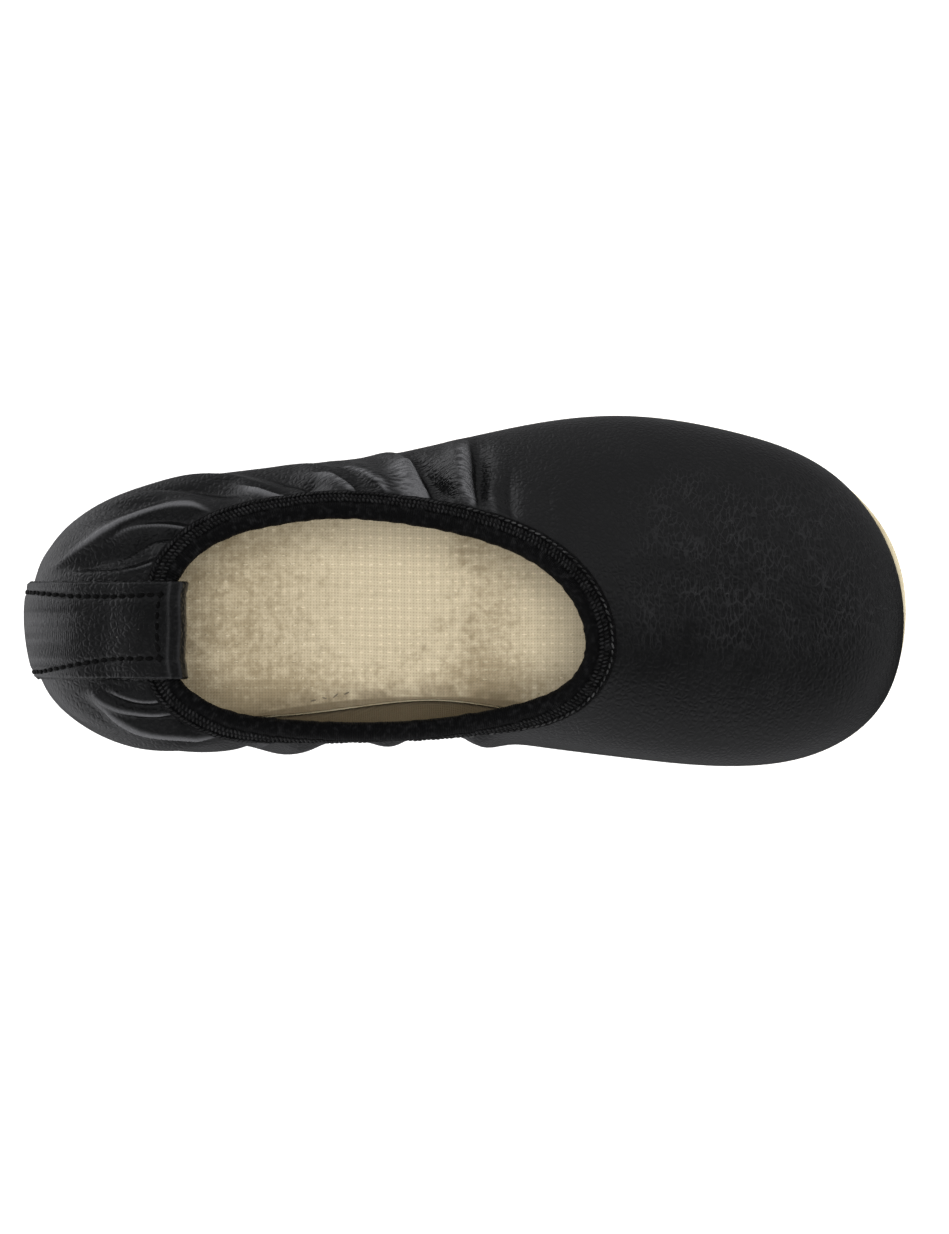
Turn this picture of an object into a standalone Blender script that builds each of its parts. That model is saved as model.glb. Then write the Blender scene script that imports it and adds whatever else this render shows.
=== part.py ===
"""Left gymnastics slipper: soft leather upper, elastic binding, heel strip, insole and thin rubber sole.

The table rows are sections round the shoe. Each one runs from the sole's edge up the leather to the collar.
Lengths along the shoe are measured from the back of the heel, widths from the line that joins heel and toe
tip, with the outer side of the foot positive.
"""

import math
from collections import namedtuple
from functools import lru_cache

import bmesh
import bpy
import numpy as np
from mathutils import Vector

MM = 0.001

# Driving dimensions
LENGTH = 180 * MM
BALL_WIDTH = 71 * MM
HEEL_HEIGHT = 36.5 * MM
INSTEP_HEIGHT = 40 * MM
COLLAR_DIP = 5 * MM
LEATHER = 1.2 * MM
GAP = 0.3 * MM

# Sole and insole
SOLE_THICKNESS = 2.6 * MM
SOLE_LIP = 1.0 * MM
SOLE_ROUNDING = 0.6 * MM
TOE_SPRING = 2.4 * MM
TOE_SPRING_START = 0.80
ARCH_RISE = 1.0 * MM
ARCH_START = 0.34
ARCH_END = 0.60
INSOLE_THICKNESS = 1.6 * MM
INSOLE_ROUNDING = 0.4 * MM
INSOLE_INSET = LEATHER + GAP + 0.2 * MM

# Elastic binding folded over the collar edge, and the leather strip folded over both at the heel
BINDING_THICKNESS = 1.0 * MM
BINDING_OUTSIDE = 4.2 * MM
BINDING_INSIDE = 4.8 * MM
HEM = BINDING_OUTSIDE + GAP
STRIP_WIDTH = 19.5 * MM
STRIP_CENTRE = -0.046 * BALL_WIDTH
STRIP_THICKNESS = 1.1 * MM
STRIP_INSIDE = 4.0 * MM
STRIP_ABOVE_SOLE = 1.2 * MM
STRIP_RAMP = 3.0 * MM
STRIP_MARGIN = 1.5 * MM
STRIP_HOLD_END = 0.25

# How the gathers come and go along their length, and how they calm down towards the sole
FOLD_RISE = 0.2
FOLD_FADE = 0.6
FOOT_CALM = 0.25

# Line along the middle of the sole, which its plates are filled towards: x from and to, and sideways bow
SPINE_BACK = 0.14
SPINE_FRONT = 0.84
SPINE_BOW = 0.09
PLATE_SHARES = (0.97, 0.62)

# Mesh fineness
TURNS = 114
EDGE_WEIGHT = 2.0
UPPER_RINGS = 11
SOLE_TURNS = 72
PROFILE_POINTS = 49
STRIP_COLUMNS = 8
STRIP_STEPS = 11
STRIP_LENGTH_GUESS = 45 * MM
STRIP_SEARCH = 0.12
STRIP_HALVINGS = 24
FINITE_STEP = 0.0008
FINITE_REACH = 0.25 * MM
SHARP_ANGLE = math.radians(50)

Section = namedtuple(
    "Section", "name foot_x foot_y edge_x edge_y dip foot_lean edge_lean foot_pull edge_pull lip"
)

# foot: where the leather meets the sole; edge: the collar line. x is a share of LENGTH, y of BALL_WIDTH.
# dip: share of COLLAR_DIP that the collar sinks; lean: degrees off vertical, outward at the foot and inward
# at the edge; pull: how far each end holds its direction, as a share of the straight distance between them;
# lip: share of SOLE_LIP that the sole stands out by.
SECTIONS = [
    Section("heel_centre", 0.0185, -0.046, 0.172, -0.046, 0.0, 12, 80, 0.50, 0.46, 0.0),
    Section("strip_medial", 0.034, -0.187, 0.176, -0.187, 0.1, 14, 77, 0.50, 0.46, 0.0),
    Section("heel_medial_back", 0.069, -0.262, 0.219, -0.281, 0.3, 13, 60, 0.46, 0.42, 0.0),
    Section("heel_medial", 0.156, -0.312, 0.276, -0.322, 0.6, 11, 34, 0.44, 0.36, 0.0),
    Section("waist_medial_back", 0.322, -0.303, 0.344, -0.337, 0.9, 32, 10, 0.46, 0.36, 0.0),
    Section("waist_medial", 0.467, -0.265, 0.444, -0.335, 1.0, 30, 4, 0.44, 0.36, 0.0),
    Section("waist_medial_front", 0.600, -0.315, 0.536, -0.302, 0.8, 30, 24, 0.42, 0.36, 0.0),
    Section("ball_medial", 0.756, -0.393, 0.604, -0.248, 0.4, 12, 54, 0.36, 0.42, 0.0),
    Section("toe_medial", 0.892, -0.400, 0.635, -0.184, 0.1, 9, 66, 0.34, 0.46, 0.0),
    Section("toe_medial_front", 0.975, -0.261, 0.646, -0.127, 0.0, 7, 71, 0.31, 0.47, 0.0),
    Section("toe_tip", 1.001, -0.004, 0.648, -0.073, 0.0, 4, 73, 0.29, 0.48, 0.7),
    Section("toe_lateral_front", 0.981, 0.212, 0.645, -0.025, 0.0, 2, 72, 0.30, 0.47, 1.0),
    Section("toe_lateral", 0.922, 0.399, 0.637, 0.028, 0.0, 5, 70, 0.33, 0.46, 0.2),
    Section("ball_lateral_front", 0.813, 0.515, 0.618, 0.099, 0.1, 9, 67, 0.37, 0.44, 0.0),
    Section("ball_lateral", 0.689, 0.560, 0.583, 0.172, 0.4, 12, 62, 0.41, 0.42, 0.0),
    Section("waist_lateral_front", 0.556, 0.519, 0.525, 0.236, 0.8, 17, 54, 0.43, 0.40, 0.0),
    Section("waist_lateral", 0.411, 0.435, 0.437, 0.285, 1.0, 20, 44, 0.44, 0.38, 0.0),
    Section("waist_lateral_back", 0.272, 0.382, 0.358, 0.300, 0.9, 20, 42, 0.45, 0.38, 0.0),
    Section("heel_lateral", 0.139, 0.328, 0.300, 0.284, 0.7, 15, 44, 0.46, 0.40, 0.0),
    Section("heel_lateral_back", 0.056, 0.230, 0.221, 0.222, 0.4, 12, 60, 0.48, 0.44, 0.0),
    Section("strip_lateral", 0.023, 0.095, 0.175, 0.095, 0.1, 12, 78, 0.50, 0.46, 0.0),
]

Fold = namedtuple("Fold", "bearing end_bearing reach width height")

# Gathers that the elastic draws into the leather. bearing: degrees round the opening, from the toe towards
# the outer side, of the section where the fold leaves the binding and of the one where it ends; reach: mm
# from the collar edge to its end; width: mm across; height: mm, a ridge if positive, a trough if negative.
FOLDS = [
    Fold(43, 46, 18, 5.0, -0.8),
    Fold(55, 57, 30, 5.0, -1.5),
    Fold(63, 63, 32, 6.0, 1.3),
    Fold(73, 83, 30, 5.5, -1.6),
    Fold(82, 91, 32, 6.5, 1.2),
    Fold(98, 108, 26, 5.5, 0.9),
    Fold(111, 119, 28, 6.0, 1.0),
    Fold(122, 129, 30, 6.0, -1.5),
    Fold(134, 140, 36, 6.5, 1.5),
    Fold(143, 150, 38, 5.5, -1.5),
    Fold(150, 160, 40, 6.0, 1.3),
    Fold(159, 167, 42, 5.5, 1.2),
    Fold(200, 193, 34, 5.0, 0.9),
    Fold(207, 199, 36, 5.5, 0.8),
    Fold(216, 207, 34, 5.5, -1.3),
    Fold(230, 225, 30, 9.0, 2.0),
    Fold(245, 244, 24, 6.0, 0.5),
    Fold(261, 261, 26, 9.0, 2.2),
    Fold(289, 289, 24, 8.0, -0.5),
    Fold(305, 305, 26, 8.0, 1.8),
]

LEATHER_BLACK = (0.012, 0.012, 0.013, 1.0)
ELASTIC_BLACK = (0.008, 0.008, 0.009, 1.0)
CANVAS_CREAM = (0.62, 0.53, 0.38, 1.0)
RUBBER_CREAM = (0.76, 0.66, 0.42, 1.0)


class ClosedSpline:
    """Smooth closed curve through rows of values at given shares of one turn."""

    def __init__(self, knots, values):
        self.knots = np.append(knots, 1.0)
        self.values = np.vstack([values, values[:1]])
        count = len(knots)
        gaps = np.diff(self.knots)
        slopes = np.diff(self.values, axis=0) / gaps[:, None]
        system = np.zeros((count, count))
        for i in range(count):
            system[i, i - 1] += gaps[i - 1]
            system[i, i] += 2 * (gaps[i - 1] + gaps[i])
            system[i, (i + 1) % count] += gaps[i]
        bends = np.linalg.solve(system, 6 * (slopes - np.roll(slopes, 1, axis=0)))
        self.bends = np.vstack([bends, bends[:1]])

    def at(self, turn):
        """Values at a share of the turn."""
        turn = turn % 1.0
        i = min(int(np.searchsorted(self.knots, turn, side="right")) - 1, len(self.knots) - 2)
        gap = self.knots[i + 1] - self.knots[i]
        before, after = (self.knots[i + 1] - turn) / gap, (turn - self.knots[i]) / gap
        bend = (before**3 - before) * self.bends[i] + (after**3 - after) * self.bends[i + 1]
        return before * self.values[i] + after * self.values[i + 1] + bend * gap * gap / 6


def section_rows():
    """Each section as numbers: foot x and y, edge x, y and z, leans in radians, pulls and lip."""
    back, front = SECTIONS[0].edge_x, max(s.edge_x for s in SECTIONS)
    rows = []
    for s in SECTIONS:
        along = (s.edge_x - back) / (front - back)
        edge_z = HEEL_HEIGHT + (INSTEP_HEIGHT - HEEL_HEIGHT) * along - s.dip * COLLAR_DIP
        places = [s.foot_x * LENGTH, s.foot_y * BALL_WIDTH, s.edge_x * LENGTH, s.edge_y * BALL_WIDTH, edge_z]
        leans = [math.radians(s.foot_lean), math.radians(s.edge_lean)]
        rows.append(places + leans + [s.foot_pull, s.edge_pull, s.lip])
    return np.array(rows)


def section_knots(rows):
    """Share of the turn at each section, from the spacing of the foot and edge lines, mostly the edge's."""
    steps = np.roll(rows, -1, axis=0) - rows
    spacing = np.hypot(steps[:, 0], steps[:, 1]) + EDGE_WEIGHT * np.hypot(steps[:, 2], steps[:, 3])
    return np.append(0.0, np.cumsum(spacing)[:-1]) / spacing.sum()


ROWS = section_rows()
KNOTS = section_knots(ROWS)
ROUND = ClosedSpline(KNOTS, ROWS)


def ground(x):
    """Height of the sole's underside: flat at heel and forefoot, raised at the arch and the toe."""
    share = x / LENGTH
    arch = min(max((share - ARCH_START) / (ARCH_END - ARCH_START), 0.0), 1.0)
    toe = max(share - TOE_SPRING_START, 0.0) / (1.0 - TOE_SPRING_START)
    return ARCH_RISE * math.sin(math.pi * arch) ** 2 + TOE_SPRING * toe**2


def outward(turn, x_column):
    """Unit normal in plan of the foot line (x_column 0) or the edge line (x_column 2)."""
    step = ROUND.at(turn + FINITE_STEP) - ROUND.at(turn - FINITE_STEP)
    dx, dy = step[x_column], step[x_column + 1]
    size = math.hypot(dx, dy)
    return np.array([dy / size, -dx / size, 0.0])


@lru_cache(maxsize=None)
def profile(turn):
    """Points of one section from the collar edge down to the foot, and their distance from the edge."""
    foot_x, foot_y, edge_x, edge_y, edge_z, foot_lean, edge_lean, foot_pull, edge_pull, _ = ROUND.at(turn)
    up = np.array([0.0, 0.0, 1.0])
    foot = np.array([foot_x, foot_y, ground(foot_x) + SOLE_THICKNESS + GAP])
    edge = np.array([edge_x, edge_y, edge_z])
    chord = np.linalg.norm(edge - foot)
    leave = math.sin(foot_lean) * outward(turn, 0) + math.cos(foot_lean) * up
    arrive = math.cos(edge_lean) * up - math.sin(edge_lean) * outward(turn, 2)
    handle_foot = foot + foot_pull * chord * leave
    handle_edge = edge - edge_pull * chord * arrive
    t = np.linspace(0.0, 1.0, PROFILE_POINTS)[:, None]
    points = (1 - t) ** 3 * edge + 3 * (1 - t) ** 2 * t * handle_edge
    points = points + 3 * (1 - t) * t**2 * handle_foot + t**3 * foot
    lengths = np.append(0.0, np.cumsum(np.linalg.norm(np.diff(points, axis=0), axis=1)))
    return points, lengths


def smooth_skin(turn, from_edge):
    """Point of the leather's outer face before it is gathered."""
    points, lengths = profile(turn % 1.0)
    inside = min(max(from_edge, 0.0), lengths[-1])
    point = np.array([np.interp(inside, lengths, points[:, k]) for k in range(3)])
    beyond = from_edge - inside
    if beyond < 0:
        point = point + beyond * (points[1] - points[0]) / lengths[1]
    if beyond > 0:
        point = point + beyond * (points[-1] - points[-2]) / (lengths[-1] - lengths[-2])
    return point


def normal_of(surface, turn, from_edge):
    """Outward normal of a surface given as a function of the turn and the distance from the collar edge."""
    around = surface(turn + FINITE_STEP, from_edge) - surface(turn - FINITE_STEP, from_edge)
    upward = surface(turn, from_edge - FINITE_REACH) - surface(turn, from_edge + FINITE_REACH)
    normal = np.cross(around, upward)
    return normal / np.linalg.norm(normal)


def bearing_turns(samples=720):
    """Bearing of the collar edge, in degrees round the opening's middle, for a run of turns."""
    turns = np.linspace(0.0, 1.0, samples, endpoint=False)
    edges = np.array([ROUND.at(t)[2:4] for t in turns])
    middle = edges.mean(axis=0)
    bearings = np.degrees(np.arctan2(edges[:, 1] - middle[1], edges[:, 0] - middle[0])) % 360
    order = np.argsort(bearings)
    return bearings[order], turns[order]


BEARINGS, BEARING_TURNS = bearing_turns()


def turn_at(bearing):
    """Share of the turn where the collar edge has this bearing."""
    unwrapped = np.unwrap(2 * math.pi * BEARING_TURNS) / (2 * math.pi)
    return float(np.interp(bearing, BEARINGS, unwrapped))


def ease(share):
    """Smooth step from 0 to 1."""
    share = min(max(share, 0.0), 1.0)
    return share * share * (3 - 2 * share)


def girth(ring):
    """Length round the shoe of the collar edge (ring 0) or the foot line (ring 1)."""
    turns = np.linspace(0.0, 1.0, 121)
    points = np.array([smooth_skin(t, ring * profile(t % 1.0)[1][-1]) for t in turns])
    return float(np.linalg.norm(np.diff(points, axis=0), axis=1).sum())


EDGE_GIRTH, FOOT_GIRTH = girth(0.0), girth(1.0)
FOLD_TURNS = [(turn_at(fold.bearing), turn_at(fold.end_bearing)) for fold in FOLDS]


def held_flat(point):
    """Share of the gathers that is left beside the heel strip, which holds the leather flat under it."""
    if point[0] > STRIP_HOLD_END * LENGTH:
        return 1.0
    return ease((abs(point[1] - STRIP_CENTRE) - 0.5 * STRIP_WIDTH - STRIP_MARGIN) / STRIP_MARGIN)


def fold_height(turn, from_edge):
    """How far the gathers lift the leather off its smooth form."""
    ring = min(max(from_edge / profile(turn % 1.0)[1][-1], 0.0), 1.0)
    around = EDGE_GIRTH + (FOOT_GIRTH - EDGE_GIRTH) * ring
    lift = 0.0
    for fold, (start, end) in zip(FOLDS, FOLD_TURNS):
        along = (from_edge - HEM) / (fold.reach * MM - HEM)
        if along <= 0.0 or along >= 1.0:
            continue
        across = (turn - start - (end - start) * along + 0.5) % 1.0 - 0.5
        spread = across * around / (fold.width * MM / 2)
        fade = ease(along / FOLD_RISE) * ease((1.0 - along) / FOLD_FADE)
        lift += fold.height * MM * fade * math.exp(-spread * spread)
    return lift * ease((1.0 - ring) / FOOT_CALM)


def skin(turn, from_edge):
    """Point of the gathered leather's outer face."""
    base = smooth_skin(turn, from_edge)
    lift = fold_height(turn, from_edge) * held_flat(base)
    if lift == 0.0:
        return base
    return base + lift * normal_of(smooth_skin, turn, from_edge)


def over_skin(turn, from_edge, height):
    """Point at a height over the leather's outer face."""
    return skin(turn, from_edge) + height * normal_of(skin, turn, from_edge)


def fold_over_edge(turn, angle, height):
    """Point on the round path over the collar edge, from outside (0) to inside (pi), off the leather."""
    normal = normal_of(skin, turn, 0.0)
    onward = skin(turn, 0.0) - skin(turn, FINITE_REACH)
    onward = onward / np.linalg.norm(onward)
    middle = skin(turn, 0.0) - 0.5 * LEATHER * normal
    reach = 0.5 * LEATHER + height
    return middle + reach * (math.cos(angle) * normal + math.sin(angle) * onward)


def under_skin(turn, from_edge, height):
    """Point at a height off the leather's inner face."""
    return skin(turn, from_edge) - (LEATHER + height) * normal_of(skin, turn, from_edge)


def material(name, color, roughness):
    """Plain surface of one colour."""
    made = bpy.data.materials.new(name)
    made.use_nodes = True
    shader = made.node_tree.nodes["Principled BSDF"]
    shader.inputs["Base Color"].default_value = color
    shader.inputs["Roughness"].default_value = roughness
    shader.inputs["Metallic"].default_value = 0.0
    return made


def add_object(name, mesh, finish, collection, frame):
    """Object of a mesh, shaded smooth, in the shoe's collection and frame."""
    mesh.shade_smooth()
    mesh.set_sharp_from_angle(angle=SHARP_ANGLE)
    mesh.materials.append(finish)
    made = bpy.data.objects.new(name, mesh)
    collection.objects.link(made)
    made.parent = frame
    return made


def lofted_mesh(name, lines, closed):
    """Open surface between lines of points that have the same number of points."""
    mesh = bpy.data.meshes.new(name)
    shape = bmesh.new()
    rings = [[shape.verts.new(point) for point in line] for line in lines]
    pairs = list(zip(rings, rings[1:])) + ([(rings[-1], rings[0])] if closed else [])
    for this, following in pairs:
        for j in range(len(this) - 1):
            shape.faces.new((this[j], following[j], following[j + 1], this[j + 1]))
    shape.to_mesh(mesh)
    shape.free()
    return mesh


def thicken(made, thickness, offset):
    """Wall of even thickness on one side of a surface: offset -1 grows inward, 1 outward."""
    wall = made.modifiers.new("wall", "SOLIDIFY")
    wall.thickness = thickness
    wall.offset = offset
    wall.use_even_offset = True
    wall.use_rim = True


def plate_mesh(name, rings):
    """Closed solid from rings of points, from the middle of the underside round to the middle of the top."""
    mesh = bpy.data.meshes.new(name)
    shape = bmesh.new()
    loops = [[shape.verts.new(point) for point in ring] for ring in rings]
    count = len(loops[0])
    for lower, upper in zip(loops, loops[1:]):
        for i in range(count):
            k = (i + 1) % count
            shape.faces.new((lower[i], lower[k], upper[k], upper[i]))
    for loop in (loops[0], loops[-1]):
        edges = [shape.edges.get((loop[i], loop[(i + 1) % count])) for i in range(count)]
        bmesh.ops.triangle_fill(shape, edges=edges, use_beauty=True)
    bmesh.ops.recalc_face_normals(shape, faces=shape.faces)
    shape.to_mesh(mesh)
    shape.free()
    return mesh


def foot_outline(offset, lip):
    """Points round the foot line, moved outward by an offset and by the sections' shares of a lip."""
    turns = np.linspace(0.0, 1.0, SOLE_TURNS, endpoint=False)
    return [ROUND.at(t)[:2] + (offset + lip * ROUND.at(t)[9]) * outward(t, 0)[:2] for t in turns]


def spine_point(point):
    """Nearest point of the line along the middle of the sole."""
    x = min(max(point[0], SPINE_BACK * LENGTH), SPINE_FRONT * LENGTH)
    along = (x / LENGTH - SPINE_BACK) / (SPINE_FRONT - SPINE_BACK)
    return np.array([x, SPINE_BOW * BALL_WIDTH * math.sin(0.5 * math.pi * along)])


def plate_rings(offset, lip, bottom, thickness, rounding):
    """Rings of a plate that follows the sole's curve, with its edges rounded."""
    outline, inset = foot_outline(offset, lip), foot_outline(offset - rounding, lip)

    def ring(points, share, height):
        placed = []
        for point in points:
            x, y = point + share * (spine_point(point) - point)
            placed.append((x, y, ground(x) + height))
        return placed

    below = [ring(inset, share, bottom) for share in PLATE_SHARES]
    above = [ring(inset, share, bottom + thickness) for share in reversed(PLATE_SHARES)]
    edge = [ring(inset, 0.0, bottom), ring(outline, 0.0, bottom + rounding)]
    edge += [ring(outline, 0.0, bottom + thickness - rounding), ring(inset, 0.0, bottom + thickness)]
    return below + edge + above


def turn_steps():
    """Shares of the turn where the upper and its binding have a section line."""
    return [i / TURNS for i in range(TURNS)]


def upper_lines():
    """Section lines of the leather's outer face, each from the foot up to the collar edge."""
    lines = []
    for turn in turn_steps():
        length = profile(turn)[1][-1]
        line = [skin(turn, HEM + (length - HEM) * (1.0 - j / UPPER_RINGS)) for j in range(UPPER_RINGS + 1)]
        line += [skin(turn, share * HEM) for share in (0.5, 0.0)]
        lines.append(line)
    return lines


def binding_lines():
    """Section lines of the elastic's inner face, from its outer hem over the collar edge to its inner hem."""
    lines = []
    for turn in turn_steps():
        line = [over_skin(turn, share * BINDING_OUTSIDE, GAP) for share in (1.0, 0.08)]
        line += [fold_over_edge(turn, share * math.pi, GAP) for share in (0.25, 0.5, 0.75)]
        line += [under_skin(turn, share * BINDING_INSIDE, GAP) for share in (0.08, 1.0)]
        lines.append(line)
    return lines


def strip_turn(y, from_edge):
    """Share of the turn near the heel where the leather has this y, by halving the range that holds it."""
    low, high = -STRIP_SEARCH, STRIP_SEARCH
    for _ in range(STRIP_HALVINGS):
        middle = 0.5 * (low + high)
        if smooth_skin(middle, from_edge)[1] > y:
            low = middle
        else:
            high = middle
    return 0.5 * (low + high)


def strip_lines():
    """Section lines of the heel strip's inner face, from the sole up over the binding and down inside."""
    over_binding = GAP + BINDING_THICKNESS + GAP
    lines = []
    for i in range(STRIP_COLUMNS + 1):
        y = STRIP_CENTRE + STRIP_WIDTH * (0.5 - i / STRIP_COLUMNS)
        length = profile(strip_turn(y, STRIP_LENGTH_GUESS) % 1.0)[1][-1] - STRIP_ABOVE_SOLE
        line = []
        for j in range(STRIP_STEPS):
            from_edge = length * (1.0 - j / STRIP_STEPS)
            rise = ease((BINDING_OUTSIDE + STRIP_RAMP - from_edge) / STRIP_RAMP)
            line.append(over_skin(strip_turn(y, from_edge), from_edge, GAP + (over_binding - GAP) * rise))
        turn = strip_turn(y, 0.0)
        line += [fold_over_edge(turn, share * math.pi, over_binding) for share in (0.1, 0.3, 0.5, 0.7, 0.9)]
        line += [under_skin(turn, share * STRIP_INSIDE, over_binding) for share in (0.2, 0.6, 1.0)]
        lines.append(line)
    return lines


def centre_frame(frame, parts):
    """Puts the middle of the shoe's footprint at the origin, with the sole's flats on the ground plane."""
    bpy.context.view_layer.update()
    graph = bpy.context.evaluated_depsgraph_get()
    corners = [Vector(c) for part in parts for c in part.evaluated_get(graph).bound_box]
    low = Vector(min(c[k] for c in corners) for k in range(3))
    high = Vector(max(c[k] for c in corners) for k in range(3))
    frame.location = (-0.5 * (low.x + high.x), -0.5 * (low.y + high.y), -low.z)


def main():
    for old in list(bpy.data.objects):
        bpy.data.objects.remove(old, do_unlink=True)
    collection = bpy.data.collections.new("gymnastics_shoe")
    bpy.context.scene.collection.children.link(collection)
    frame = bpy.data.objects.new("gymnastics_shoe_frame", None)
    collection.objects.link(frame)

    leather = material("black_leather", LEATHER_BLACK, 0.48)
    elastic = material("black_elastic", ELASTIC_BLACK, 0.75)
    canvas = material("cream_canvas", CANVAS_CREAM, 0.70)
    rubber = material("cream_rubber", RUBBER_CREAM, 0.60)

    sole_rings = plate_rings(0.0, SOLE_LIP, 0.0, SOLE_THICKNESS, SOLE_ROUNDING)
    insole_rings = plate_rings(-INSOLE_INSET, 0.0, SOLE_THICKNESS + GAP, INSOLE_THICKNESS, INSOLE_ROUNDING)
    outsole = add_object("outsole", plate_mesh("outsole", sole_rings), rubber, collection, frame)
    insole = add_object("insole", plate_mesh("insole", insole_rings), canvas, collection, frame)
    shell = lofted_mesh("upper", upper_lines(), True)
    upper = add_object("upper", shell, leather, collection, frame)
    thicken(upper, LEATHER, -1.0)
    binding = lofted_mesh("collar_binding", binding_lines(), True)
    collar = add_object("collar_binding", binding, elastic, collection, frame)
    thicken(collar, BINDING_THICKNESS, 1.0)
    band = lofted_mesh("heel_strip", strip_lines(), False)
    strip = add_object("heel_strip", band, leather, collection, frame)
    thicken(strip, STRIP_THICKNESS, 1.0)
    centre_frame(frame, [outsole, insole, upper, collar, strip])


main()
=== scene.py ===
"""Looks of a left gymnastics slipper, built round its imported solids.

Metres. +X runs to the toe, +Y to the outer side of the foot and +Z up. The leather is described by a last:
closed lines round the shoe at the sole and at the collar, joined by sections. A place on it is a turn (share
of the way round, from the back of the heel past the inner side and the toe) and a depth (distance down from
the collar edge).
"""

import logging
import math
from dataclasses import asdict, dataclass, field, replace
from enum import Enum
from typing import ClassVar, NamedTuple

import bmesh
import bpy
import numpy as np
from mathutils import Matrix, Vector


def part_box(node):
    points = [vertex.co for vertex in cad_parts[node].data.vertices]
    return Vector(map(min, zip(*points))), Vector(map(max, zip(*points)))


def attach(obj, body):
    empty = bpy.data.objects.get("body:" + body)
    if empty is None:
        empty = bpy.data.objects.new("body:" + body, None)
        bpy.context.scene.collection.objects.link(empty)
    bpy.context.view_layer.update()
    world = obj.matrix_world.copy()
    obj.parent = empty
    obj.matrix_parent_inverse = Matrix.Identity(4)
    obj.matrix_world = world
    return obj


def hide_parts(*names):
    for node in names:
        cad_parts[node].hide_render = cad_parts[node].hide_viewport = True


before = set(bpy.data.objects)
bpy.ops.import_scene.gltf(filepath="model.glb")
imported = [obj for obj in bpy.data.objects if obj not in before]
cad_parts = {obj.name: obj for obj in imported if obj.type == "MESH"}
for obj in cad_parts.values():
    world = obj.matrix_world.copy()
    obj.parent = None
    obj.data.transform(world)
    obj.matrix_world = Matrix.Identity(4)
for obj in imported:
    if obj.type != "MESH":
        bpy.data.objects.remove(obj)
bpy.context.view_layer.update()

LOG = logging.getLogger("gymnastics_slipper")
MM = 0.001
NORMAL_ATTRIBUTE = "surface_normal"
Color = tuple[float, float, float, float]


class Slot(Enum):
    """Material slots of the record."""

    LEATHER = "leather"
    ELASTIC = "elastic"
    CANVAS = "canvas"
    RUBBER = "rubber"


class Wire:
    """Output socket of a node, whose arithmetic adds Math nodes to the same tree."""

    def __init__(self, sheet: "NodeSheet", socket: bpy.types.NodeSocket) -> None:
        """Keeps the socket and the tree that it is in."""
        self.sheet = sheet
        self.socket = socket

    def __add__(self, other: "Wire | float") -> "Wire":
        """Sum."""
        return self.sheet.math("ADD", self, other)

    def __radd__(self, other: float) -> "Wire":
        """Sum with a number on the left."""
        return self.sheet.math("ADD", other, self)

    def __sub__(self, other: "Wire | float") -> "Wire":
        """Difference."""
        return self.sheet.math("SUBTRACT", self, other)

    def __rsub__(self, other: float) -> "Wire":
        """Difference with a number on the left."""
        return self.sheet.math("SUBTRACT", other, self)

    def __mul__(self, other: "Wire | float") -> "Wire":
        """Product."""
        return self.sheet.math("MULTIPLY", self, other)

    def __rmul__(self, other: float) -> "Wire":
        """Product with a number on the left."""
        return self.sheet.math("MULTIPLY", other, self)

    def __truediv__(self, other: "Wire | float") -> "Wire":
        """Quotient."""
        return self.sheet.math("DIVIDE", self, other)

    def __rtruediv__(self, other: float) -> "Wire":
        """Quotient with a number on the left."""
        return self.sheet.math("DIVIDE", other, self)


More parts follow.
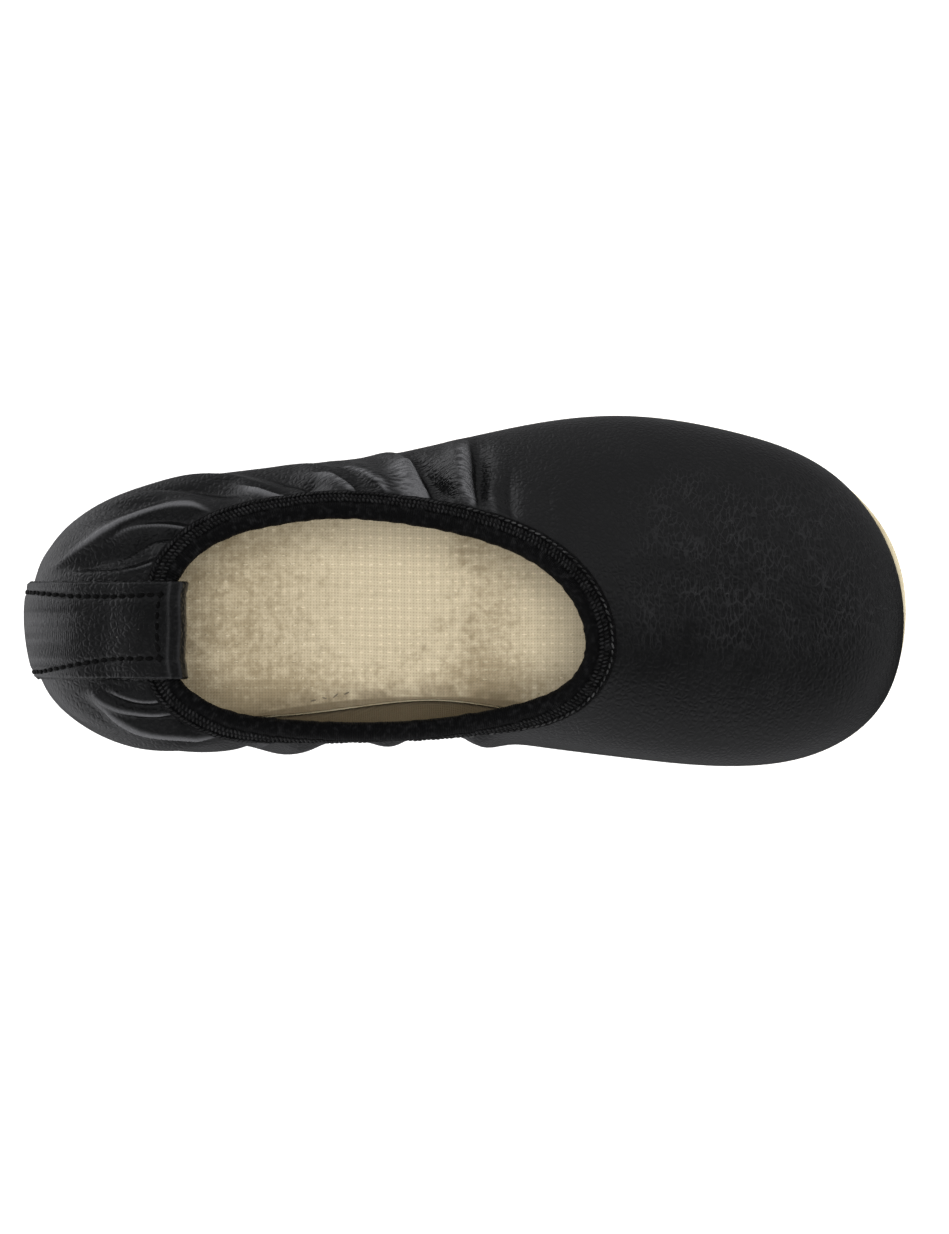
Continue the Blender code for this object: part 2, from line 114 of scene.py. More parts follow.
class NodeSheet:
    """A shader or geometry node tree while it is being written."""

    def __init__(self, tree: bpy.types.NodeTree) -> None:
        """Starts on an existing tree."""
        self.tree = tree

    @staticmethod
    def find(sockets: bpy.types.bpy_prop_collection, key: str | int) -> bpy.types.NodeSocket:
        """Looks up a socket.

        Args:
            sockets: Inputs or outputs of one node.
            key: The socket's identifier, name or number.

        Returns:
            The socket.
        """
        if isinstance(key, int):
            return sockets[key]
        for socket in sockets:
            if socket.identifier == key:
                return socket
        return sockets[key]

    def node(
        self,
        kind: str,
        settings: dict[str, object] | None = None,
        inputs: dict[str | int, object] | None = None,
        output: str | int = 0,
    ) -> Wire:
        """Adds one node.

        Args:
            kind: Blender's type name of the node.
            settings: Properties, set before any socket is looked up.
            inputs: Wires or plain values for its sockets.
            output: The output socket to go on with.

        Returns:
            The wire of that output.
        """
        made = self.tree.nodes.new(kind)
        for name, value in (settings or {}).items():
            setattr(made, name, value)
        for key, value in (inputs or {}).items():
            socket = self.find(made.inputs, key)
            if isinstance(value, Wire):
                self.tree.links.new(value.socket, socket)
            else:
                socket.default_value = value
        return Wire(self, self.find(made.outputs, output))

    def math(self, operation: str, first: Wire | float, second: Wire | float = 0.0) -> Wire:
        """Adds a Math node of one or two values."""
        return self.node("ShaderNodeMath", {"operation": operation}, {0: first, 1: second})

    def ramp(self, value: Wire, low: float, high: float) -> Wire:
        """Smooth step of a value: 0 at low and 1 at high, whichever is the larger.

        Args:
            value: What is measured.
            low: Value that gives 0.
            high: Value that gives 1.

        Returns:
            The share from 0 to 1.
        """
        limits = {"Value": value, "From Min": low, "From Max": high}
        return self.node("ShaderNodeMapRange", {"interpolation_type": "SMOOTHSTEP"}, limits)

    def mix(self, share: Wire | float, first: Wire | Color, second: Wire | Color) -> Wire:
        """Mixes two colours.

        Args:
            share: Share of the second.
            first: Colour at share 0.
            second: Colour at share 1.

        Returns:
            The mixed colour.
        """
        inputs = {"Factor_Float": share, "A_Color": first, "B_Color": second}
        return self.node("ShaderNodeMix", {"data_type": "RGBA"}, inputs, "Result_Color")

    def place(self, scale: tuple[float, float, float] = (1.0, 1.0, 1.0), turn: float = 0.0) -> Wire:
        """Position on the piece.

        Args:
            scale: Factor along each axis.
            turn: Turn about the vertical axis before it, in radians.

        Returns:
            The position vector.
        """
        spot = self.node("ShaderNodeTexCoord", output="Object")
        if turn:
            spot = self.node("ShaderNodeMapping", {}, {"Vector": spot, "Rotation": (0.0, 0.0, turn)})
        return self.node("ShaderNodeMapping", {}, {"Vector": spot, "Scale": scale})

    def axis(self, vector: Wire, name: str) -> Wire:
        """One component, X, Y or Z, of a vector."""
        return self.node("ShaderNodeSeparateXYZ", {}, {"Vector": vector}, name)

    def noise(self, vector: Wire, scale: float, detail: float = 2.0, roughness: float = 0.5) -> Wire:
        """Cloudy noise from about 0.2 to 0.8.

        Args:
            vector: Where it is read.
            scale: Clouds to the metre.
            detail: Octaves of finer clouds.
            roughness: Weight of the finer clouds.

        Returns:
            The noise value.
        """
        inputs = {"Vector": vector, "Scale": scale, "Detail": detail, "Roughness": roughness}
        return self.node("ShaderNodeTexNoise", {}, inputs, "Fac")

    def cells(self, vector: Wire, scale: float, feature: str = "F1", randomness: float = 1.0) -> Wire:
        """Distance in a pattern of irregular cells.

        Args:
            vector: Where it is read.
            scale: Cells to the metre.
            feature: What the distance is measured to.
            randomness: How irregular the cells are.

        Returns:
            The distance, in cells.
        """
        inputs = {"Vector": vector, "Scale": scale, "Randomness": randomness}
        return self.node("ShaderNodeTexVoronoi", {"feature": feature}, inputs, "Distance")

    def wave(self, length: Wire, pitch: float) -> Wire:
        """Sine wave from -1 to 1 along a length."""
        return self.math("SINE", length * (2.0 * math.pi / pitch))

    def attribute(self, name: str) -> Wire:
        """Number stored on the mesh under a name."""
        return self.node("ShaderNodeAttribute", {"attribute_name": name}, {}, "Fac")

    def bump(self, height: Wire, distance: float, under: Wire | None = None) -> Wire:
        """Surface relief.

        Args:
            height: Relief from 0 to 1.
            distance: Height in metres of a relief of 1.
            under: Normal of a coarser relief below it.

        Returns:
            The normal.
        """
        inputs = {"Height": height, "Distance": distance}
        if under is not None:
            inputs["Normal"] = under
        return self.node("ShaderNodeBump", {}, inputs, "Normal")


@dataclass(frozen=True)
class Finish:
    """A surface finish, made into a material by its paint method."""

    name: str
    roughness: float = 0.5
    specular: float = 0.5
    glow: float = 0.0

    def material(self) -> bpy.types.Material:
        """Makes the material with a Principled shader and paints it.

        Returns:
            The material.
        """
        made = bpy.data.materials.new(self.name)
        made.use_nodes = True
        shader = made.node_tree.nodes["Principled BSDF"]
        shader.inputs["Roughness"].default_value = self.roughness
        shader.inputs["Specular IOR Level"].default_value = self.specular
        shader.inputs["Emission Strength"].default_value = self.glow
        sheet = NodeSheet(made.node_tree)
        for socket, wire in self.paint(sheet).items():
            made.node_tree.links.new(wire.socket, shader.inputs[socket])
        return made

    def paint(self, sheet: NodeSheet) -> dict[str, Wire]:
        """Gives the wires for the shader's sockets, by socket name."""
        raise NotImplementedError


@dataclass(frozen=True)
class Leather(Finish):
    """Soft black leather: pebbled grain, a net of ridges, fine wrinkles, rubbing and a painted sheen on
    crests, and dust.
    """

    black: Color = (0.0020, 0.0021, 0.0022, 1.0)
    faded: Color = (0.0052, 0.0053, 0.0055, 1.0)
    rubbed: Color = (0.105, 0.105, 0.110, 1.0)
    dust: Color = (0.30, 0.29, 0.27, 1.0)
    bend: float = 1.1 * MM
    grain: float = 1.15 * MM
    grain_depth: float = 0.07 * MM
    cell_width: float = 1.0 * MM
    cell_length: float = 2.8 * MM
    cell_depth: float = 0.12 * MM
    wrinkle: float = 0.55 * MM
    wrinkle_length: float = 2.6 * MM
    wrinkle_depth: float = 0.13 * MM
    speck_spacing: float = 5.5 * MM
    speck_size: float = 0.022

    def paint(self, sheet: NodeSheet) -> dict[str, Wire]:
        """Paints grain, ridges, wrinkles, rubbing with a painted sheen, and dust.

        Args:
            sheet: The material's tree.

        Returns:
            Wires for base colour, roughness and normal.
        """
        spot = sheet.place()
        cloud = sheet.noise(spot, 70.0, 4.0)
        warp = sheet.node("ShaderNodeTexNoise", {}, {"Vector": spot, "Scale": 330.0, "Detail": 2.0}, "Color")
        bent = sheet.node(
            "ShaderNodeVectorMath",
            {"operation": "MULTIPLY_ADD"},
            {0: warp, 1: (self.bend,) * 3, 2: spot},
        )
        pebble = sheet.ramp(sheet.cells(bent, 1.0 / self.grain, "DISTANCE_TO_EDGE"), 0.0, 0.34)
        pores = sheet.noise(spot, 2600.0, 2.0)
        across, along = 1.0 / self.cell_width, 1.0 / self.cell_length
        cells = sheet.node("ShaderNodeMapping", {}, {"Vector": bent, "Scale": (across, along, across)})
        ridges = sheet.ramp(sheet.cells(cells, 1.0, "DISTANCE_TO_EDGE"), 0.12, 0.01)
        net = ridges * sheet.attribute("vamp") * sheet.ramp(sheet.noise(spot, 160.0, 2.0), 0.22, 0.66)
        lengths = sheet.node("ShaderNodeUVMap", {"uv_map": "UVMap"})
        drawn = sheet.node(
            "ShaderNodeMapping",
            {},
            {"Vector": lengths, "Scale": (1.0 / self.wrinkle_length, 1.0 / self.wrinkle, 1.0)},
        )
        gathered = sheet.attribute("wrinkle")
        lines = sheet.ramp(sheet.noise(drawn, 1.0, 1.0), 0.38, 0.60)
        wrinkled = sheet.bump(lines * gathered * (0.3 + 1.4 * cloud), self.wrinkle_depth)
        netted = sheet.bump(net, self.cell_depth, wrinkled)
        grained = sheet.bump(pebble * (0.45 + cloud) + pores * 0.25, self.grain_depth, netted)
        # Crease crests: real rubbing plus a painted sheen, streaked along the fine wrinkles.
        streaks = 1.0 + gathered * (0.8 * lines - 0.5)
        wear_and_painted_light = sheet.ramp(sheet.attribute("crest_wear_and_sheen") * streaks * (0.45 + 0.7 * cloud), 0.05, 1.3)
        # Random tone, and the tops of the pebbles painted lighter as a painted highlight on the grain.
        tone = sheet.mix(sheet.ramp(cloud, 0.35, 0.7) * 0.35 + pebble * cloud * 0.5, self.black, self.faded)
        # The net's ridges get a faint painted sheen.
        worn = sheet.mix(sheet.math("MAXIMUM", wear_and_painted_light * 0.8, net * 0.09), tone, self.rubbed)
        dots = sheet.cells(spot, 1.0 / self.speck_spacing)
        specks = sheet.ramp(dots, self.speck_size, 0.4 * self.speck_size)
        kept = sheet.ramp(sheet.noise(spot, 45.0, 1.0), 0.5, 0.62)
        color = sheet.mix(specks * kept, worn, self.dust)
        rough = self.roughness + 0.12 * (cloud - 0.5) - 0.05 * pebble - 0.06 * net - 0.08 * wear_and_painted_light
        return {"Base Color": color, "Roughness": rough, "Normal": grained}


@dataclass(frozen=True)
class Elastic(Finish):
    """Black elastic tape: fine ribs across the rolled edge and a knitted band along its hem."""

    black: Color = (0.0011, 0.0011, 0.0012, 1.0)
    lint: Color = (0.0150, 0.0150, 0.0155, 1.0)
    rib: float = 0.42 * MM
    rib_depth: float = 0.10 * MM
    knit: float = 0.9 * MM
    knit_depth: float = 0.22 * MM
    knit_end: float = 3.3 * MM

    def paint(self, sheet: NodeSheet) -> dict[str, Wire]:
        """Paints ribs and knit along the tape's own lengths.

        Args:
            sheet: The material's tree.

        Returns:
            Wires for base colour, roughness and normal.
        """
        along_across = sheet.node("ShaderNodeUVMap", {"uv_map": "UVMap"})
        along = sheet.axis(along_across, "X")
        across = sheet.axis(along_across, "Y")
        stray = sheet.noise(sheet.place(), 900.0, 3.0)
        rolled = sheet.ramp(across, self.knit_end - 0.2 * MM, self.knit_end + 0.2 * MM)
        ribs = 0.5 + 0.5 * sheet.wave(along + 0.12 * MM * stray, self.rib)
        slanted = sheet.wave(along + 0.5 * across + 0.3 * MM * stray, self.knit)
        crossed = sheet.wave(along - 0.5 * across, self.knit)
        loops = 0.5 + 0.25 * slanted + 0.25 * crossed
        ribbed = sheet.bump(ribs * rolled, self.rib_depth)
        knitted = sheet.bump(loops * (1.0 - rolled) + 0.3 * stray, self.knit_depth, ribbed)
        color = sheet.mix(sheet.ramp(stray, 0.45, 0.8) * (0.3 + 0.5 * ribs), self.black, self.lint)
        rough = self.roughness + 0.15 * (stray - 0.5)
        return {"Base Color": color, "Roughness": rough, "Normal": knitted}


@dataclass(frozen=True)
class Canvas(Finish):
    """Cream canvas: woven threads, patches of soil, a browner heel, and painted shade along the inner edge.
    """

    clean: Color = (0.56, 0.48, 0.335, 1.0)
    worn: Color = (0.295, 0.238, 0.148, 1.0)
    soiled: Color = (0.12, 0.092, 0.055, 1.0)
    thread: float = 0.62 * MM
    thread_depth: float = 0.10 * MM
    grid_x: float = 1.96 * MM
    grid_y: float = 1.80 * MM
    grid_share: float = 0.0
    edge_middle: float = -8.0 * MM
    edge_side: float = -22.1 * MM
    edge_bow: float = 2.9
    soil_back: float = -48.0 * MM
    soil_front: float = -16.0 * MM
    tread_back: float = -11.0 * MM
    tread_front: float = 4.0 * MM
    tread_end: float = 20.0 * MM

    def paint(self, sheet: NodeSheet) -> dict[str, Wire]:
        """Paints weave, soil and painted shade along the inner edge.

        Args:
            sheet: The material's tree.

        Returns:
            Wires for base colour, roughness and normal.
        """
        spot = sheet.place()
        x, y, z = (sheet.axis(spot, name) for name in "XYZ")
        stray = sheet.noise(spot, 620.0, 2.0)
        warp = sheet.wave(x + 0.25 * MM * stray, self.thread)
        weft = sheet.wave(y + z + 0.25 * MM * stray, self.thread)
        weave = 0.5 + 0.25 * warp + 0.25 * weft
        cloud = sheet.noise(spot, 55.0, 4.0, 0.6)
        fine = sheet.noise(spot, 260.0, 3.0, 0.6)
        along = x + 9.0 * MM * (cloud - 0.5) + 8.0 * MM * (fine - 0.5)
        heel = sheet.ramp(along, self.soil_front, self.soil_back)
        tread = sheet.ramp(along, self.tread_back, self.tread_front)
        tread = tread * sheet.ramp(along, self.tread_end, self.tread_front)
        off_middle = x - self.edge_middle
        inward = y - self.edge_side + self.edge_bow * off_middle * off_middle
        # Darker towards the inner wall.
        side = sheet.ramp(inward, 13.0 * MM, 3.0 * MM)
        wear_and_painted_light = heel * 0.55 + tread * 0.45 + side * 0.35
        grit = sheet.noise(spot, 800.0, 3.0, 0.6)
        soil_and_shade = sheet.ramp(wear_and_painted_light + 0.25 * (cloud - 0.5) + 0.8 * (fine - 0.5) + 1.1 * (grit - 0.5), 0.0, 0.95)
        tone = sheet.mix(soil_and_shade, self.clean, self.worn)
        stains = sheet.ramp(sheet.noise(spot, 150.0, 4.0, 0.7), 0.58, 0.78) * (0.2 + 0.35 * heel)
        # Smudges and a painted shadow just inside the inner edge, darkest at the edge itself.
        rim = sheet.ramp(inward, 4.5 * MM, 0.3 * MM) * sheet.ramp(fine, 0.25, 0.7) * 0.6
        rim = sheet.math("MAXIMUM", rim, sheet.ramp(inward, 0.9 * MM, 0.2 * MM) * 0.75)
        specks = sheet.ramp(sheet.cells(spot, 110.0), 0.04, 0.02) * sheet.ramp(cloud, 0.42, 0.5) * 0.8
        stains_and_shade = sheet.math("MAXIMUM", sheet.math("MAXIMUM", stains, rim), specks)
        dirty_and_shaded = sheet.mix(stains_and_shade, tone, self.soiled)
        columns = sheet.wave(x + 0.25 * self.grid_x, self.grid_x)
        rows = sheet.wave(y + 0.25 * self.grid_y, self.grid_y)
        between = (0.5 - 0.25 * (columns + rows)) * self.grid_share * (0.5 + stray)
        gaps = (1.0 - sheet.ramp(weave, 0.1, 0.45)) * 0.26 + between
        color = sheet.mix(gaps, dirty_and_shaded, self.soiled)
        relief = sheet.bump(weave + 0.5 * stray, self.thread_depth)
        return {"Base Color": color, "Roughness": self.roughness + 0.1 * (cloud - 0.5), "Normal": relief}


@dataclass(frozen=True)
class Rubber(Finish):
    """Cream rubber sheet: slightly mottled, scuffed, with a fine moulded texture."""

    cream: Color = (0.74, 0.66, 0.46, 1.0)
    aged: Color = (0.55, 0.45, 0.27, 1.0)
    scuff: Color = (0.25, 0.22, 0.18, 1.0)
    texture: float = 1.4 * MM
    texture_depth: float = 0.08 * MM

    def paint(self, sheet: NodeSheet) -> dict[str, Wire]:
        """Paints mottling, scuffs and texture.

        Args:
            sheet: The material's tree.

        Returns:
            Wires for base colour, roughness and normal.
        """
        spot = sheet.place()
        cloud = sheet.noise(spot, 60.0, 4.0, 0.6)
        streaks = sheet.noise(sheet.place((260.0, 60.0, 260.0), 0.4), 1.0, 3.0, 0.6)
        tone = sheet.mix(sheet.ramp(cloud, 0.35, 0.7), self.cream, self.aged)
        below = sheet.ramp(sheet.axis(spot, "Z"), 1.2 * MM, 0.2 * MM)
        color = sheet.mix(sheet.ramp(streaks, 0.56, 0.72) * (0.15 + 0.5 * below), tone, self.scuff)
        dimples = sheet.ramp(sheet.cells(spot, 1.0 / self.texture, "F1", 0.25), 0.15, 0.5)
        relief = sheet.bump(dimples + 0.4 * sheet.noise(spot, 1500.0), self.texture_depth)
        return {"Base Color": color, "Roughness": self.roughness + 0.2 * (cloud - 0.5), "Normal": relief}


@dataclass(frozen=True)
class Thread(Finish):
    """Sewing thread or yarn with a fine twist."""

    color: Color = (0.004, 0.004, 0.004, 1.0)
    faded: Color = (0.012, 0.012, 0.012, 1.0)
    twist: float = 0.35 * MM

    def paint(self, sheet: NodeSheet) -> dict[str, Wire]:
        """Paints the twist and lighter patches: a little fading, and painted glints where the second colour
        is bright.

        Args:
            sheet: The material's tree.

        Returns:
            Wires for base colour and normal.
        """
        spot = sheet.place()
        cloud = sheet.noise(spot, 420.0, 3.0)
        slant = sheet.axis(spot, "X") + sheet.axis(spot, "Y") + sheet.axis(spot, "Z")
        ply = 0.5 + 0.5 * sheet.wave(slant, self.twist)
        color = sheet.mix(sheet.ramp(cloud, 0.4, 0.7), self.color, self.faded)
        return {"Base Color": color, "Normal": sheet.bump(ply, 0.06 * MM)}


@dataclass(frozen=True)
class Paper(Finish):
    """Plain pale floor with a faint tooth."""

    white: Color = (0.93, 0.93, 0.93, 1.0)
    shade: Color = (0.91, 0.91, 0.91, 1.0)

    def paint(self, sheet: NodeSheet) -> dict[str, Wire]:
        """Paints one pale colour with a trace of unevenness.

        Args:
            sheet: The material's tree.

        Returns:
            Wires for base colour and emission colour.
        """
        cloud = sheet.noise(sheet.place(), 3.0)
        tone = sheet.mix(cloud, self.white, self.shade)
        return {"Base Color": tone, "Emission Color": tone}


class Section(NamedTuple):
    """Section of the last.

    Its x are shares of the last's length, its y of the ball width, its leans degrees and the rest shares.
    """

    foot_x: float
    foot_y: float
    edge_x: float
    edge_y: float
    dip: float
    foot_lean: float
    edge_lean: float
    foot_pull: float
    edge_pull: float
    lip: float


class Fold(NamedTuple):
    """Gather of the leather: bearings in degrees where it leaves the binding and ends, then sizes in mm."""

    bearing: float
    end_bearing: float
    reach: float
    width: float
    height: float


class Crease(NamedTuple):
    """Crest or trough: height, widths left and right of its line, and the line from the collar outward.

    Heights and widths are in mm. The line has pairs of bearing in degrees and distance from the collar edge
    in mm. Left and right are as seen from outside the leather.
    """

    height: float
    left: float
    right: float
    line: tuple[tuple[float, float], ...]


SECTIONS = (
    Section(0.0185, -0.046, 0.172, -0.046, 0.0, 12, 80, 0.50, 0.46, 0.0),
    Section(0.034, -0.187, 0.176, -0.187, 0.1, 14, 77, 0.50, 0.46, 0.0),
    Section(0.069, -0.262, 0.219, -0.281, 0.3, 13, 60, 0.46, 0.42, 0.0),
    Section(0.156, -0.312, 0.276, -0.322, 0.6, 11, 34, 0.44, 0.36, 0.0),
    Section(0.322, -0.303, 0.344, -0.337, 0.9, 32, 10, 0.46, 0.36, 0.0),
    Section(0.467, -0.265, 0.444, -0.335, 1.0, 30, 4, 0.44, 0.36, 0.0),
    Section(0.600, -0.315, 0.536, -0.302, 0.8, 30, 24, 0.42, 0.36, 0.0),
    Section(0.756, -0.393, 0.604, -0.248, 0.4, 12, 54, 0.36, 0.42, 0.0),
    Section(0.892, -0.400, 0.635, -0.184, 0.1, 9, 66, 0.34, 0.46, 0.0),
    Section(0.975, -0.261, 0.646, -0.127, 0.0, 7, 71, 0.31, 0.47, 0.0),
    Section(1.001, -0.004, 0.648, -0.073, 0.0, 4, 73, 0.29, 0.48, 0.7),
    Section(0.981, 0.212, 0.645, -0.025, 0.0, 2, 72, 0.30, 0.47, 1.0),
    Section(0.922, 0.399, 0.637, 0.028, 0.0, 5, 70, 0.33, 0.46, 0.0),
    Section(0.813, 0.515, 0.618, 0.099, 0.1, 9, 67, 0.37, 0.44, 0.0),
    Section(0.689, 0.560, 0.583, 0.172, 0.4, 12, 62, 0.41, 0.42, 0.0),
    Section(0.556, 0.519, 0.525, 0.236, 0.8, 17, 54, 0.43, 0.40, 0.0),
    Section(0.411, 0.435, 0.437, 0.285, 1.0, 20, 44, 0.44, 0.38, 0.0),
    Section(0.272, 0.382, 0.358, 0.300, 0.9, 20, 42, 0.45, 0.38, 0.0),
    Section(0.139, 0.328, 0.300, 0.284, 0.7, 15, 44, 0.46, 0.40, 0.0),
    Section(0.056, 0.230, 0.221, 0.222, 0.4, 12, 60, 0.48, 0.44, 0.0),
    Section(0.023, 0.095, 0.175, 0.095, 0.1, 12, 78, 0.50, 0.46, 0.0),
)

FOLDS = (
    Fold(43, 46, 18, 5.0, -0.8),
    Fold(55, 57, 30, 5.0, -1.5),
    Fold(63, 63, 32, 6.0, 1.3),
    Fold(73, 83, 30, 5.5, -1.6),
    Fold(82, 91, 32, 6.5, 1.2),
    Fold(98, 108, 26, 5.5, 0.9),
    Fold(111, 119, 28, 6.0, 1.0),
    Fold(122, 129, 30, 6.0, -1.5),
    Fold(134, 140, 36, 6.5, 1.5),
    Fold(143, 150, 38, 5.5, -1.5),
    Fold(150, 160, 40, 6.0, 1.3),
    Fold(159, 167, 42, 5.5, 1.2),
    Fold(200, 193, 34, 5.0, 0.9),
    Fold(207, 199, 36, 5.5, 0.8),
    Fold(216, 207, 34, 5.5, 0.7),
    Fold(230, 225, 30, 9.0, 2.0),
    Fold(245, 244, 24, 6.0, 0.5),
    Fold(261, 261, 26, 9.0, 2.2),
    Fold(289, 289, 24, 8.0, -0.5),
    Fold(305, 305, 26, 8.0, 1.8),
)

CREASES = (
    # Pleats at the outer side of the waist
    Crease(-0.40, 0.8, 1.0, ((27.5, 4.5), (30.8, 9), (33.6, 13), (34.5, 16))),
    Crease(0.12, 1.0, 2.0, ((40.2, 7.8), (41.8, 10.5), (44.1, 14.8), (45, 18))),
    Crease(-0.50, 0.7, 1.2, ((38.5, 3), (42.1, 6.8), (43.5, 9), (44.7, 11), (45.6, 14.8), (46, 19))),
    Crease(0.50, 2.6, 2.2, ((45.2, 2), (47.7, 5.5), (49.3, 8), (50.9, 10.5), (52, 14))),
    Crease(-1.50, 0.9, 1.6, ((52.5, 3), (56.7, 10.2), (57.6, 14), (58.2, 19), (58.6, 23), (58.8, 29))),
    Crease(2.20, 4.2, 1.0, ((54, 3), (57.8, 9.8), (58.9, 13), (59.3, 17.8), (59.7, 21), (60, 29))),
    Crease(-0.28, 0.5, 0.7, ((59, 5), (65.8, 6.2), (69, 7.8), (71.4, 9.8), (74.3, 12.5), (76, 15))),
    Crease(-0.22, 0.45, 0.6, ((62, 7), (68.2, 8), (71.4, 10), (73, 11.5))),
    Crease(-0.22, 0.45, 0.6, ((64, 7.8), (66.2, 8.5), (70.2, 10.5), (73.9, 12.5), (75, 14))),
    Crease(-0.22, 0.45, 0.6, ((70, 12), (71.8, 13), (74.7, 14.5), (77.7, 14.2), (79, 14))),
    Crease(-2.20, 1.2, 4.0, ((71, 2.5), (73.5, 5), (76, 9.8), (77.2, 13), (78.9, 16.5), (80.2, 20.5),
        (81, 28))),
    Crease(2.40, 7.2, 1.2, ((74.5, 2.5), (78.5, 5.8), (80.6, 8), (81.9, 10.5), (83.1, 13.5), (84, 16),
        (86.1, 25))),
    Crease(1.20, 0.8, 2.6, ((95.5, 2.5), (99.5, 6), (102.9, 7.8), (105.4, 10.2), (107.8, 12.2),
        (109.8, 14), (112, 18))),
    Crease(-0.90, 0.8, 0.9, ((104.5, 2.5), (109.5, 6.2), (111.1, 7.2), (112.9, 8.2), (114.4, 9.8),
        (117, 13))),
    Crease(1.30, 3.0, 0.7, ((109, 2.5), (112, 5.5), (114.4, 7.8), (116.1, 9.8), (118.3, 12), (121, 16))),
    # Outer side of the heel
    Crease(-1.50, 2.0, 2.0, ((124, 2), (123.5, 4), (122.7, 7.8), (123.2, 10.2), (124.5, 14))),
    Crease(-1.10, 0.8, 1.8, ((130, 3), (131.6, 6), (133.6, 7.2), (135.8, 8.4), (137.3, 10.4), (138, 13))),
    Crease(-1.30, 5.0, 5.0, ((124, 9), (130, 12), (135, 14), (140, 16), (145, 19), (151, 24))),
    Crease(1.50, 3.2, 0.7, ((130.5, 2), (133.4, 3.6), (135.5, 4.3), (137.3, 5.7), (138.6, 7.1),
        (139.5, 9), (140, 12), (140.2, 15))),
    Crease(-1.10, 2.0, 2.4, ((148.5, 6), (150.5, 10), (154, 13.5), (157.5, 16.2), (160, 18.6), (163, 23),
        (165, 28))),
    Crease(1.70, 1.1, 2.3, ((150.5, 3), (152.6, 6.8), (154.2, 8.7), (156.1, 10.5), (158.3, 12),
        (160.8, 13.5), (163, 15.7), (165, 18.7), (167, 22.5), (169.5, 28), (171, 32))),
    Crease(-0.80, 1.2, 1.2, ((155, 3), (157, 6.8), (158.4, 8.5), (159.9, 10.2), (161.3, 11.8), (163, 14))),
    Crease(1.10, 0.8, 0.9, ((156, 1.5), (158.2, 5), (160.1, 8), (161.5, 10.5), (163.2, 13), (164.6, 14.8),
        (166, 18))),
    Crease(-1.20, 0.9, 0.9, ((158.5, 2), (160.6, 5.2), (162.5, 7.8), (164.4, 9.5), (166.5, 11.5),
        (168, 14))),
    Crease(-1.50, 3.4, 3.4, ((163, 4), (166, 10), (168, 15), (169.5, 20), (171, 26))),
    Crease(-0.70, 1.1, 1.1, ((162.5, 2.5), (165.8, 5.8), (167.2, 7.8), (168.4, 10.5), (169.5, 12.8),
        (170, 15))),
    Crease(0.90, 0.7, 0.9, ((164.8, 1.5), (167.4, 5.5), (168.4, 7.2), (169.3, 10.5), (170.7, 13.8),
        (171.5, 17))),
    # Inner side of the heel
    Crease(1.20, 0.6, 1.0, ((196.5, 1.5), (194.9, 5.8), (193.5, 9), (192.4, 11.5), (191, 13.8), (190, 17))),
    Crease(-0.80, 0.9, 0.9, ((197.7, 2), (195.6, 6.8), (194.7, 9), (192.8, 12.5), (191.5, 15))),
    Crease(1.30, 0.6, 1.2, ((200, 2), (197.2, 6.8), (195.6, 9.5), (194.4, 12.2), (193, 15), (191.7, 17),
        (190.5, 20))),
    Crease(-0.80, 1.1, 1.1, ((205, 2), (200.8, 4.5), (198.9, 6), (197.5, 8), (196.3, 10.5), (195, 13))),
    Crease(1.70, 0.6, 2.0, ((210.5, 2.5), (206, 6), (203.1, 7.8), (200.3, 10), (198, 12), (196.1, 13.5),
        (194.4, 15), (192.5, 17.5), (191, 21))),
    Crease(-0.80, 1.8, 0.9, ((213, 4), (208.5, 6.2), (206.6, 7.2), (204.5, 8.2), (200.6, 10.8),
        (198, 13.5))),
    Crease(-0.60, 0.7, 0.7, ((219, 5), (218, 10), (217.5, 15))),
    Crease(0.70, 1.0, 1.0, ((219.3, 2), (219.9, 6.5), (220.2, 10.8), (220.5, 15))),
    # Inner side of the throat
    Crease(-0.30, 1.5, 1.5, ((298, 3), (300, 10), (302, 18))),
)


def ease(share: np.ndarray) -> np.ndarray:
    """Smooth step from 0 to 1."""
    inside = np.clip(share, 0.0, 1.0)
    return inside * inside * (3.0 - 2.0 * inside)


class ClosedSpline:
    """Smooth closed curve through rows of values at given shares of one turn."""

    def __init__(self, knots: np.ndarray, values: np.ndarray) -> None:
        """Solves for the bends at the knots.

        Args:
            knots: Share of the turn of each row, rising from 0.
            values: One row of values for each knot.
        """
        self.knots = np.append(knots, 1.0)
        self.values = np.vstack([values, values[:1]])
        count = len(knots)
        gaps = np.diff(self.knots)
        slopes = np.diff(self.values, axis=0) / gaps[:, None]
        system = np.zeros((count, count))
        for i in range(count):
            system[i, i - 1] += gaps[i - 1]
            system[i, i] += 2 * (gaps[i - 1] + gaps[i])
            system[i, (i + 1) % count] += gaps[i]
        bends = np.linalg.solve(system, 6 * (slopes - np.roll(slopes, 1, axis=0)))
        self.bends = np.vstack([bends, bends[:1]])

    def at(self, turns: np.ndarray) -> np.ndarray:
        """Reads the curve.

        Args:
            turns: Shares of the turn.

        Returns:
            One row of values for each.
        """
        turns = np.asarray(turns) % 1.0
        i = np.clip(np.searchsorted(self.knots, turns, side="right") - 1, 0, len(self.knots) - 2)
        gap = (self.knots[i + 1] - self.knots[i])[:, None]
        before = (self.knots[i + 1] - turns)[:, None] / gap
        after = 1.0 - before
        bend = (before**3 - before) * self.bends[i] + (after**3 - after) * self.bends[i + 1]
        return before * self.values[i] + after * self.values[i + 1] + bend * gap * gap / 6


